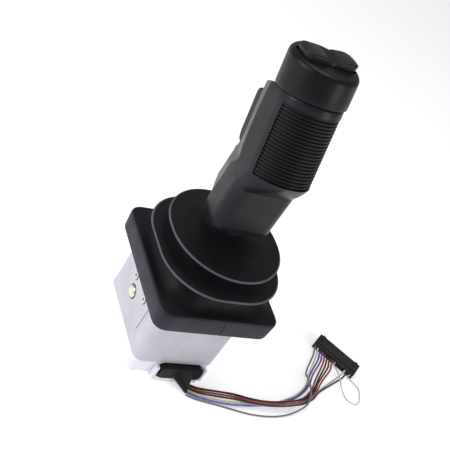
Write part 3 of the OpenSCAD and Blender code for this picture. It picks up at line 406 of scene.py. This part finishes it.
def solid(name, verts, faces, mat, width=0.0, segments=3):
    """A loose cutter or base solid, in millimetres, with bevelled edges if a width is given."""
    o = mesh_object(name, verts, faces, [mat])
    if width:
        m = o.modifiers.new("bevel", "BEVEL")
        m.width = width * MM
        m.segments = segments
        m.limit_method = "ANGLE"
        m.angle_limit = math.radians(35)
        bpy.context.view_layer.update()
        apply(o)
    return o


# ---------- tilted frames ----------

LEAN = math.radians(17)
SLOPE = math.radians(10)
GRIP_LEN = 60
HEAD_H = 25.5
G0 = (0, -7 + GRIP_LEN * math.sin(LEAN), 121 + GRIP_LEN * math.cos(LEAN))


def grip(x, y, s):
    """A point of the grip's own frame, in millimetres."""
    return (x, G0[1] + y * math.cos(LEAN) + s * math.sin(LEAN),
            G0[2] - y * math.sin(LEAN) + s * math.cos(LEAN))


def head(x, y, z):
    """A point of the head's own frame, whose origin is the middle of the sloping top."""
    return grip(x, y * math.cos(SLOPE) - z * math.sin(SLOPE),
                HEAD_H + y * math.sin(SLOPE) + z * math.cos(SLOPE))


def side_view(u, v, w):
    """A point of the grip's frame from its side view: u is y, v is s and w is x."""
    return grip(w, u, v)


def front_view(u, v, w):
    """A point of the grip's frame from its front view: u is x, v is s and w is y."""
    return grip(u, w, v)


def prism(points, at, lo, hi):
    """Prism of a 2-D outline, placed by a function of (u, v, w)."""
    return stack([[at(u, v, w) for u, v in points] for w in (lo, hi)])


def circle(r, n):
    """Points of a full circle about the origin."""
    return [(r * math.cos(2 * math.pi * i / n), r * math.sin(2 * math.pi * i / n)) for i in range(n)]


def fan_arc(r, half, n):
    """Points of an arc round the palm side, from one side to the other; a negative half runs back."""
    turns = [-half + 2 * half * i / n for i in range(n + 1)]
    return [(r * math.sin(a), -r * math.cos(a)) for a in turns]


def box_outline(x0, y0, x1, y1):
    return [(x0, y0), (x1, y0), (x1, y1), (x0, y1)]


# ---------- wires and plug ----------

FLOOR = -72.8
WIRE_D = 1.6
SPINE = [(15.5, -50.5), (22, -53.5), (31, -55.5), (42, -57.5), (55, -60), (68, -62), (82, -63),
         (97, -62.5), (111, -60), (124, -55.5), (135, -49), (144, -41), (151, -32)]
LANE_PITCH = [1.05, 1.1, 1.2, 1.25, 1.2, 1.1, 1.05, 1.05, 1.05, 1.1, 1.2, 1.4, 1.8]
BLUE_SHIFT = [-3.6, -3.7, -4.2, -4.4, -3.4, -1.5, 0.2, 1.5, 2.9, 4, 4.6, 5, 5.8]
RED_SHIFT = [2.6, 2.8, 3.2, 3.2, 2.4, 1, 0, -0.6, -1.6, -2.4, -2.8, -3.2, -4]
RED_LIFT = [0, 0, 0, 1, 3.2, 3.6, 3.6, 3.6, 3.6, 1.8, 0, 0, 0]
GREY_SHIFT = [-6.2, -6.2, -6.6, -7.2, -8.2, -9.4, -10, -9.8, -9, -7.5, -1, 6.5, 10]
GREY_LIFT = [0, 0, 0, 0, 0, 0, 0, 0, 1, 4.6, 5.6, 4.6, 0.6]
PLUG = (184, -6)
PLUG_TURN = math.radians(-48.5)


def plug_point(x, y, z=0.0):
    """A point of the plug's own frame."""
    c, s = math.cos(PLUG_TURN), math.sin(PLUG_TURN)
    return (PLUG[0] + x * c - y * s, PLUG[1] + x * s + y * c, FLOOR + z)


def way(j, back, side, z):
    return plug_point((j - 7) * 2.8 + side, -8 + 1.4 - back, z)


def wire_route(j, shift, lift, lane, stations):
    out = []
    for i in range(stations):
        a, b = Vector(SPINE[max(i - 1, 0)]), Vector(SPINE[min(i + 1, 12)])
        t = (b - a).normalized()
        off = shift[i] - lane * LANE_PITCH[i]
        out.append((SPINE[i][0] - t.y * off, SPINE[i][1] + t.x * off,
                    FLOOR + WIRE_D / 2 + 0.1 + lift[i] + (lane % 2) * 1.75))
    for back, z in ((12, 0.9), (6, 1.8), (2, 3), (0, 3)):
        out.append(way(j, back, max(back - 2, 0) * (-0.14 if j > 10 else 0.34), z))
    return out


def wire(name, route, diameter, colour, node):
    points = curve(route, 4)
    cu = bpy.data.curves.new(name, "CURVE")
    cu.dimensions = "3D"
    sp = cu.splines.new("POLY")
    sp.points.add(len(points) - 1)
    for q, p in zip(sp.points, points):
        q.co = (*[c * MM for c in p], 1)
    sp.use_smooth = True
    cu.bevel_depth = diameter / 2 * MM
    cu.bevel_resolution = 4
    cu.use_fill_caps = True
    cu.materials.append(sheath(name + "_insulation", colour))
    o = bpy.data.objects.new(name, cu)
    bpy.context.scene.collection.objects.link(o)
    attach(o, "base")
    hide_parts(node)
    return o


NO_LIFT = [0] * 13
for key, j, shift, lift, lane, stations in (
        ("grey", 0, GREY_SHIFT, GREY_LIFT, 0, 13), ("yellow", 1, BLUE_SHIFT, NO_LIFT, -1, 13),
        ("blue", 2, BLUE_SHIFT, NO_LIFT, 0, 13), ("violet", 3, BLUE_SHIFT, NO_LIFT, 1, 13),
        ("red", 4, RED_SHIFT, RED_LIFT, -2, 13), ("black", 5, RED_SHIFT, RED_LIFT, -1, 13),
        ("maroon", 6, RED_SHIFT, RED_LIFT, 0, 13), ("pink", 7, RED_SHIFT, RED_LIFT, 1, 13),
        ("white", 12, RED_SHIFT, RED_LIFT, 2, 12), ("brown", 13, RED_SHIFT, RED_LIFT, 3, 12)):
    wire("lead_" + key, wire_route(j, shift, lift, lane, stations), WIRE_D, WIRES[key],
         "wire_" + key)

JUMPER = [(177.5, -24, 3.6), (175.5, -33, 5), (174.5, -43, 3), (177, -51, 0.9), (183, -56.5, 0.9),
          (189.5, -54.5, 0.9), (194, -47, 0.9), (196, -38, 0.9)]
jumper_route = ([way(8, 0, 0, 3), way(8, 2, 0, 3), way(8, 5, 0, 3.2)]
                + [(x, y, FLOOR + z) for x, y, z in JUMPER]
                + [way(14, 5, 0, 2), way(14, 2, 0, 3), way(14, 0, 0, 3)])
wire("lead_jumper", jumper_route, 1.2, WIRES["white"], "jumper_wire")


# ---------- boot ----------

RING = 160


def rounded_ring(z, hw, hd, r, cy):
    """Rounded rectangle ring with points evenly spread along it."""
    r = min(r, hw - 0.01, hd - 0.01)
    w, d = hw - r, hd - r
    parts = [("line", (hw, -d), (hw, d)), ("arc", (w, d), 0), ("line", (w, hd), (-w, hd)),
             ("arc", (-w, d), 90), ("line", (-hw, d), (-hw, -d)), ("arc", (-w, -d), 180),
             ("line", (-w, -hd), (w, -hd)), ("arc", (w, -d), 270)]
    lengths = [math.dist(p[1], p[2]) if p[0] == "line" else r * math.pi / 2 for p in parts]
    total = sum(lengths)
    ring = []
    for i in range(RING):
        at, k = total * i / RING, 0
        while at > lengths[k] and k < 7:
            at -= lengths[k]
            k += 1
        p = parts[k]
        if p[0] == "line":
            f = at / lengths[k] if lengths[k] else 0
            x, y = p[1][0] + (p[2][0] - p[1][0]) * f, p[1][1] + (p[2][1] - p[1][1]) * f
        else:
            a = math.radians(p[2] + 90 * at / lengths[k])
            x, y = p[1][0] + r * math.cos(a), p[1][1] + r * math.sin(a)
        ring.append((x, y + cy, z))
    return by_angle(ring)


def by_angle(ring):
    """The same ring, with its points spread evenly by angle so that stacked rings don't twist."""
    cx = sum(p[0] for p in ring) / len(ring)
    cy = sum(p[1] for p in ring) / len(ring)
    polar = sorted((math.atan2(p[1] - cy, p[0] - cx), p) for p in ring)
    before = (polar[-1][0] - 2 * math.pi, polar[-1][1])
    after = (polar[0][0] + 2 * math.pi, polar[0][1])
    polar = [before, *polar, after]
    out, k = [], 0
    for i in range(RING):
        a = -math.pi + 2 * math.pi * (i + 0.5) / RING
        while polar[k + 1][0] < a:
            k += 1
        (a0, p), (a1, q) = polar[k], polar[k + 1]
        f = (a - a0) / (a1 - a0) if a1 > a0 else 0
        out.append(tuple(u + (v - u) * f for u, v in zip(p, q)))
    return out


PIVOT_Y = 9
BW, BD = 49.0, 53.5
# Outside of the boot, from the panel up: (z, half width, half depth, radius, centre y, material),
# where material 0 is the fins' rubber, 1 the skirt's and 2 a paler rubber on the rims that paints their
# highlight
OUTSIDE = [
    (0.0, BW, BD, 9, 0, 1), (0.0, BW + 0.1, BD + 0.1, 9, 0, 1), (1.0, BW + 0.4, BD + 0.4, 9, 0, 1),
    (14.6, BW + 1.2, BD + 1.2, 9.5, 0, 1), (15.8, BW + 1.0, BD + 1.0, 9.5, 0, 1),
    (16.7, BW + 0.3, BD + 0.3, 9.2, 0, 0), (17.2, BW - 0.8, BD - 0.8, 9, 0, 0),
    (17.5, BW - 2.4, BD - 2.4, 9, 0, 0), (18.6, BW - 7, BD - 7, 12, 0, 0),
    (21.5, 40.5, 44, 19, 0, 0), (25.5, 37.5, 40, 24, 0, 0), (28.8, 38, 40.2, 28, 0, 0),
    (31.4, 41.5, 43.6, 33, 0, 0), (33.4, 46.5, 48.6, 38, 0, 0), (34.5, 49.2, 51.3, 40.5, 0, 0),
    (34.8, 50.0, 52.1, 41.2, 0, 2), (35.3, 50.4, 52.5, 41.5, 0, 2), (35.9, 50.2, 52.3, 41.4, 0, 2),
    (36.2, 49.6, 51.7, 41, 0, 2), (36.2, 49.1, 51.2, 40.6, 0, 0), (35.95, 48.6, 50.7, 40.2, 0, 0),
    (36.1, 48.1, 50.2, 39.8, 0, 0), (36.6, 46.6, 48.6, 38.6, 0, 0), (37.9, 42.0, 44.0, 36, 0, 0),
    (39.8, 36.8, 38.6, 33.5, 0, 0), (42.3, 33.2, 34.6, 32, 0, 0), (44.6, 32.6, 33.6, 32, 0, 0),
    (46.6, 34.4, 35.4, 34, 0, 0), (48.6, 38.8, 39.9, 38.4, 0, 0), (50.0, 43.2, 44.4, 42.8, 0, 0),
    (50.4, 45.0, 46.3, 44.6, 0, 2), (50.9, 45.7, 47.0, 45.2, 0, 2), (51.5, 45.6, 46.9, 45.1, 0, 2),
    (51.9, 45.0, 46.3, 44.6, 0, 2), (51.9, 44.5, 45.8, 44.1, 0, 0), (51.6, 44.0, 45.3, 43.6, 0, 0),
    (51.75, 43.5, 44.8, 43.1, 0, 0), (52.1, 41.5, 42.7, 41.2, 0.3, 0), (53.0, 34, 34.8, 33.8, 2, 0),
    (54.2, 26, 26.4, 25.8, 4.5, 0), (55.6, 20, 20.2, 19.9, 6.8, 0), (57.6, 16, 16.1, 15.9, 8.2, 0),
    (60.2, 14.2, 14.2, 14.1, 9, 0), (62.5, 14.0, 14.0, 13.9, 9, 0), (65.2, 14.0, 14.0, 13.9, 9, 0),
    (66.0, 13.6, 13.6, 13.5, 9, 0), (66.2, 12.8, 12.8, 12.7, 9, 0), (66.2, 9.0, 9.0, 8.9, 9, 0)]
# Inside of the boot, from the collar down: (z, half width, half depth, radius, centre y)
INSIDE = [
    (60.0, 8.6, 8.6, 8.5, 9), (55.5, 12, 12, 11.9, 8), (52.5, 20, 20, 19.9, 6), (50.6, 34, 35, 33.9, 2),
    (49.2, 38, 39, 37.9, 0), (46.8, 33, 34, 32.9, 0), (43, 30.4, 31.4, 30.3, 0), (38, 34, 36, 33, 0),
    (34.2, 43, 45, 36, 0), (31, 38.5, 40.6, 31, 0), (27, 35.5, 38, 27, 0), (22, 36, 40, 20, 0),
    (16, 43, 47.6, 10, 0), (14, 44.4, 48.9, 9, 0), (5.4, 44.4, 48.9, 9, 0), (0.4, 44.4, 48.9, 9, 0)]
rings = [rounded_ring(*row[:5]) for row in OUTSIDE + INSIDE]
mats = [row[5] for row in OUTSIDE] + [0] * len(INSIDE) + [1]
verts = [v for r in rings for v in r]
faces, face_mats = [], []
for j in range(len(rings)):
    up = (j + 1) % len(rings)
    for i in range(RING):
        k = (i + 1) % RING
        faces.append((j * RING + i, j * RING + k, up * RING + k, up * RING + i))
        face_mats.append(2 if mats[j + 1] == 2 else mats[j])
boot = add("rubber_boot", verts, faces, [M["boot"], M["skirt"], M["rim_highlight"]], None, "boot_rubber",
           ["boot"], 50, face_mats)
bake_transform(boot)

SEAM_TOP = 15


def seam_point(u, v, w):
    """The seam runs down the skirt's front, sideways and with the skirt's taper."""
    return (u + 0.192 * (SEAM_TOP - w), v + 0.055 * (SEAM_TOP - w), w)


seam_outline = box_outline(2.2, -54.95, 3.0, -54.2)
seam = solid("boot_mould_seam", *prism(seam_outline, seam_point, 0.6, 15.2), M["seal"])
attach(seam, "base")


# ---------- grip ----------

STEPS = (26, 9, 9)
PALM = 25.2
BORE_R = 19.6
SPIGOT_R = 22.1
TUBE_HOLE_R = 8.4
NOSE_SLOPE_R = 25.35
NOSE_START = 15.5
SEAT_IN, SEAT_OUT = 22.9, 26.5
SEAT_ANGLE = math.radians(73)


def neck(nose):
    """Right-hand corners of the upright neck: palm, ridge and nose."""
    return [(27, -15.5, 11), (22.5, 14, 4), (13.5, nose, 6)]


def grip_section(ridge_x, ridge_y, nose_x, nose, palm=PALM):
    """Right-hand corners of the leaning grip: palm, ridge and nose."""
    return [(palm, -palm, palm - 1.6), (ridge_x, ridge_y, 4), (nose_x, nose, 5)]


def mixed(a, b, t, palm_t):
    """Corners between two sections; the palm's corner has its own pace."""
    return [tuple(p + (q - p) * (palm_t if i == 0 else t) for p, q in zip(u, v))
            for i, (u, v) in enumerate(zip(a, b))]


FAN = (38, 107.5)
REACH = (FAN[0] + 7) / math.cos(LEAN)


def fan_ring(t):
    """Section of the knee, turned about a line in front of the grip: upright at 0, leaning at 1."""
    angle, reach = LEAN * t, FAN[0] + (REACH - FAN[0]) * t
    c = mixed(neck(32), grip_section(23.8, 15, 14.5, 40.5), t, t ** 1.35)
    return [(x, FAN[0] + (y - reach) * math.cos(angle), FAN[1] - (y - reach) * math.sin(angle))
            for x, y in outline(c, STEPS)]


def level_ring(z, nose, inset=0.0):
    """Level section of the neck."""
    c = [(x - inset, y + (inset if y < 0 else -inset), r) for x, y, r in neck(nose)]
    return [(x, y, z) for x, y in outline(c, STEPS)]


def grip_ring(s, c):
    return [grip(x, y, s) for x, y in outline(c, STEPS)]


keys = [level_ring(68, 21.5, 1.1), level_ring(68.3, 21.8, 0.4), level_ring(69.2, 22.5), level_ring(73, 26),
        level_ring(78, 30.2), level_ring(83, 32), level_ring(92, 32), level_ring(101, 32)]
keys += [fan_ring(t / 12) for t in range(13)]
keys += [grip_ring(s, grip_section(*c)) for s, c in (
    (-57.5, (24.0, 14.8, 15.0, 38)), (-55, (24.2, 15, 15.4, 36)), (-52, (24.2, 15.6, 15.9, 34)),
    (-48, (24.2, 16.1, 16.3, 33)), (-42, (24, 16.5, 16.5, 32.5)), (-32, (24, 16.5, 16.5, 32.5)),
    (-20, (23.8, 16.5, 16.5, 32.5)), (-8, (23.2, 16.3, 16.5, 32)), (-1.8, (22.8, 16, 16.5, 31.5)),
    (-1.2, (22.6, 15.8, 16.3, 31.3, 25.0)), (-0.8, (22.2, 15.4, 15.9, 30.9, 24.6)))]
grip_body = add("grip_shell", *stack(keys), [M["grip"]], None, "grip_plastic", (), 35)


def cutter(name, points_and_faces, width=0.0, segments=3):
    return solid(name, *points_and_faces, M["grip"], width, segments)


hollow_outline = outline([(23.8, -12.4, 5), (19.8, 12.2, 3), (12.2, 19.7, 4)], (8, 4, 4))
tube_outline = [(x, PIVOT_Y + y) for x, y in circle(TUBE_HOLE_R, 48)]
half_turn = [math.radians(a) for a in range(0, 181, 4)]
slope_arc = [(NOSE_SLOPE_R * math.cos(a), NOSE_SLOPE_R * math.sin(a)) for a in half_turn]
slope_ring = [(40, 0)] + slope_arc + [(-40, 0), (-40, 60), (40, 60)]
slope_low = [grip(x, y, -1 - max(y - NOSE_START, 0) * math.tan(LEAN)) for x, y in slope_ring]
slope_high = [grip(x, y, 15) for x, y in slope_ring]
seat_outline = fan_arc(SEAT_OUT, SEAT_ANGLE, 60) + fan_arc(SEAT_IN, -SEAT_ANGLE, 60)
pocket_outline = box_outline(-14.7, -58.3, 14.7, -12.2)
cut(grip_body, [
    cutter("bore", prism(circle(BORE_R, 64), grip, -50, 20)),
    cutter("spigot", prism(circle(SPIGOT_R, 64), grip, -8, 21)),
    cutter("neck_hollow", stack([[(x, y, z) for x, y in hollow_outline] for z in (60, 98)])),
    cutter("tube_hole", stack([[(x, y, z) for x, y in tube_outline] for z in (90, 134)])),
    cutter("trigger_pocket", prism(pocket_outline, front_view, 21.2, 60), 0.8, 2),
    cutter("nose_slope", stack([slope_low, slope_high])),
    cutter("pad_seat", prism(seat_outline, grip, -59.5, -6.6))], 32)
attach(grip_body, "lever")
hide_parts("grip_body")

# ---------- palm pad: a ribbed sheet of rubber bent round the grip ----------

RIBS, RIB_PITCH, PAD_TOP, PAD_R = 21, 2.5, -6.75, 24.75
PAD_COLS = 110
PAD_ANGLE = math.radians(72.7)
# One rib and the groove below it: (drop, height over the pad's radius)
RIB = [(-0.15, 0.0), (-0.5, 0.06), (-0.95, 0.05), (-1.2, -0.08), (-1.42, -0.55), (-1.6, -0.95),
       (-1.9, -1.02), (-2.1, -0.9), (-2.28, -0.45)]
RIB_FOOT = -1.2


def pad_point(r, i, s):
    """A point of the pad's column i, at a radius and a height."""
    a = -PAD_ANGLE + 2 * PAD_ANGLE * i / (PAD_COLS - 1)
    return grip(r * math.sin(a), -r * math.cos(a), s)


def rounded_radius(r, i):
    """The pad's radius, eased down over the last 0.8 mm beside its two long edges."""
    a = -PAD_ANGLE + 2 * PAD_ANGLE * i / (PAD_COLS - 1)
    fade = min(1.0, (PAD_ANGLE - abs(a)) * 24.5 / 0.8)
    return r - 0.5 * (1 - fade) ** 2


profile = [(PAD_TOP, PAD_R - 1.6), (PAD_TOP, PAD_R - 0.45), (PAD_TOP - 0.15, PAD_R - 0.2)]
for i in range(RIBS):
    s0 = PAD_TOP - 0.15 - i * RIB_PITCH
    taper = -0.25 + 0.45 * i / RIBS
    for ds, dr in RIB:
        if i == RIBS - 1 and ds < RIB_FOOT:
            continue
        profile.append((s0 + ds, PAD_R + taper + dr))
end = profile[-1][0]
profile += [(end - 0.2, PAD_R - 0.4), (end - 0.25, PAD_R - 1.6)]
verts = [pad_point(rounded_radius(r, i), i, s) for s, r in profile for i in range(PAD_COLS)]
faces = []
for j in range(len(profile) - 1):
    for i in range(PAD_COLS - 1):
        a = j * PAD_COLS + i
        faces.append((a, a + 1, a + PAD_COLS + 1, a + PAD_COLS))
for i in (0, PAD_COLS - 1):
    base = len(verts)
    verts += [pad_point(SEAT_IN, i, s) for s, r in profile]
    for j in range(len(profile) - 1):
        faces.append((j * PAD_COLS + i, (j + 1) * PAD_COLS + i, base + j + 1, base + j))
add("palm_ribs", verts, faces, [M["pad"]], "lever", "pad_rubber", ["palm_pad"], 50)

# ---------- head cap ----------

HEAD_R, EDGE = 26.0, 4.6
CAP_COLS = 144
CAP_SIDE = [(HEAD_R - 3, 0.0), (HEAD_R - 0.7, 0.0), (HEAD_R - 0.2, 0.25), (HEAD_R, 0.8), (HEAD_R, 6),
            (HEAD_R, 12)]
CAP_HOLLOW = [(0.3, 12.0), (23.0, 12.0), (23.0, 0.02)]
slices = []
for i in range(CAP_COLS):
    a = 2 * math.pi * i / CAP_COLS
    rise = math.tan(SLOPE) * math.sin(a)
    top_s = HEAD_H + HEAD_R * rise
    rounding = corner((HEAD_R, 0), (HEAD_R, top_s), (0, HEAD_H), EDGE, 12)
    top = [(r, HEAD_H + r * rise) for r in (20, 14, 7, 0.3)]
    slices.append([grip(r * math.cos(a), r * math.sin(a), s) for r, s in CAP_SIDE + rounding + top])
rings = [[grip(x, y, s) for x, y in circle(r, CAP_COLS)] for r, s in CAP_HOLLOW]
rings += [list(ring) for ring in zip(*slices)]
head_cap = add("head_shell", *stack(rings), [M["cap"]], None, "cap_plastic", (), 30)
rocker_pocket = outline([(22.0, -10.1, 5.5), (22.0, 10.1, 5.5)], (10, 10))
cut(head_cap, [
    solid("pocket", *prism(rocker_pocket, head, -5.4, 12), M["cap"]),
    solid("slot", *prism(box_outline(-5, -5.2, 5, 5.2), head, -16, -3), M["cap"])], 32)
SPIGOT = [(20.3, 0.5), (20.3, -5.8), (21.7, -5.8), (21.7, 0.5)]
spigot = stack([[grip(x, y, s) for x, y in circle(r, 96)] for r, s in SPIGOT], caps=(False, False))
add("head_spigot", *spigot, [M["cap"]], "lever", "cap_plastic", (), 40)
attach(head_cap, "lever")
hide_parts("head_cap")


# ---------- rocker: two crowned pads with a valley between them ----------

VALLEY = 5.6
ROCKER_HALF = 9.5
ROCKER_EDGE = 1.3
END_START = 15.8


def rocker_top(x):
    """Height of the rocker's top along its length."""
    u = abs(x)
    if u < VALLEY:
        t = u / VALLEY
        return 1.5 + 3.5 * (t ** 1.25) * (1.0 - 0.12 * t)
    crown = 0.75 * math.sin(min(1.0, (u - VALLEY) / 11) * math.pi / 2)
    return 4.58 + crown - 0.06 * max(0, u - 15) ** 1.25


def rocker_bottom(x):
    """Underside, cut away towards the ends so that the rocker can tilt in its pocket."""
    return -2.4 + max(0.0, abs(x) - 7) * 1.8 / 13.1


def rocker_half_width(x):
    """Half the rocker's width, which closes in a quarter ellipse at each end."""
    past = max(0.0, abs(x) - END_START) / 5.9
    return ROCKER_HALF - 5.8 * (1 - math.sqrt(max(0.0, 1 - past ** 2)))


def rocker_section(x):
    """Crowned section with rounded shoulders; its ends slope inwards going down."""
    half = rocker_half_width(x)
    top_z = rocker_top(x) - 1.2 * (max(0.0, abs(x) - 20.4) / 1.2) ** 2
    shoulder = [math.pi / 2 * k / 8 for k in range(9)]
    right = [(0, top_z + 0.25), (half * 0.35, top_z + 0.2), (half * 0.7, top_z + 0.08)]
    right += [(half - ROCKER_EDGE * (1 - math.sin(a)), top_z - ROCKER_EDGE * (1 - math.cos(a)))
              for a in shoulder]
    right += [(half - 0.15, 0.5), (half - 0.35, rocker_bottom(x))]
    slope = math.copysign(0.2, x) * max(0.0, (abs(x) - 14) / 7.6)
    ring = right + [(-y, z) for y, z in reversed(right[1:])]
    return [head(x - slope * (5 - z), y, z) for y, z in ring]


end_stations = [-21.6, -21.52, -21.44, -21.2, -20.8, -20.2, -19.4]
stations = end_stations + list(range(-18, 19)) + [-x for x in reversed(end_stations)]
sections = [rocker_section(x) for x in stations]
add("thumb_rocker", *stack(sections), [M["rocker"]], "rocker", "rocker_plastic", ["rocker"], 40)
stem_outline = box_outline(-1.5, -4, 1.5, 4)
stem = solid("rocker_stem", *prism(stem_outline, head, -13.9, -2), M["rocker"], 0.3, 2)
smooth(stem, 40)
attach(stem, "rocker")


# ---------- trigger paddle ----------

# Side outline: (y, s) in the grip's frame
TRIGGER_SIDE = [(28, -15.2), (30, -13.6), (38.5, -13.6), (41.2, -14.8), (42, -18), (42, -48), (40.6, -53.5),
                (36, -56.6), (27, -56.6), (23.4, -54), (23.4, -47)]
TRIGGER_HALF, TRIGGER_WALL = 14, 2.5
hollow_half = TRIGGER_HALF - TRIGGER_WALL
hollow_side = box_outline(10, -54, 39.5, -15.6)
paddle_form = prism(TRIGGER_SIDE, side_view, -TRIGGER_HALF, TRIGGER_HALF)
paddle = solid("trigger_paddle", *paddle_form, M["trigger"], 1.5, 4)
hollow = solid("hollow", *prism(hollow_side, side_view, -hollow_half, hollow_half), M["trigger"])
cut(paddle, [hollow], 32)
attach(paddle, "trigger")
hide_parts("trigger")


# ---------- floor and light ----------

floor_mat = Nodes("pale_floor", 0.9, Emission_Color=(1, 1, 1, 1), Emission_Strength=0.45)
floor_tones = [(0.3, (0.93, 0.93, 0.935)), (0.7, (0.95, 0.95, 0.955))]
floor_mat.color(floor_mat.ramp(floor_mat.noise(3, 2), floor_tones))
bpy.ops.mesh.primitive_plane_add(size=8, location=(0, 0, FLOOR * MM - 0.0002))
floor = bpy.context.object
floor.name = "floor"
floor.data.materials.append(floor_mat.m)

world = bpy.data.worlds.new("studio")
world.use_nodes = True
world.node_tree.nodes["Background"].inputs["Color"].default_value = (0.97, 0.98, 1, 1)
world.node_tree.nodes["Background"].inputs["Strength"].default_value = 0.32
bpy.context.scene.world = world


def area(name, at, to, size, power):
    """A rectangular soft light that points at a place."""
    light = bpy.data.lights.new(name, "AREA")
    light.shape = "RECTANGLE"
    light.size, light.size_y = size
    light.energy = power
    o = bpy.data.objects.new(name, light)
    bpy.context.scene.collection.objects.link(o)
    o.location = at
    o.rotation_mode = "QUATERNION"
    o.rotation_quaternion = (Vector(to) - Vector(at)).to_track_quat("-Z", "Y")
    return o


area("key", (-0.9, 0.1, 0.55), (0, 0, 0.06), (0.35, 0.7), 6)
area("side", (0.55, -0.75, 0.35), (0, 0, 0.08), (0.25, 0.6), 2.5)
area("top", (0.1, 0.3, 1.1), (0, 0, 0.05), (0.5, 0.5), 3)
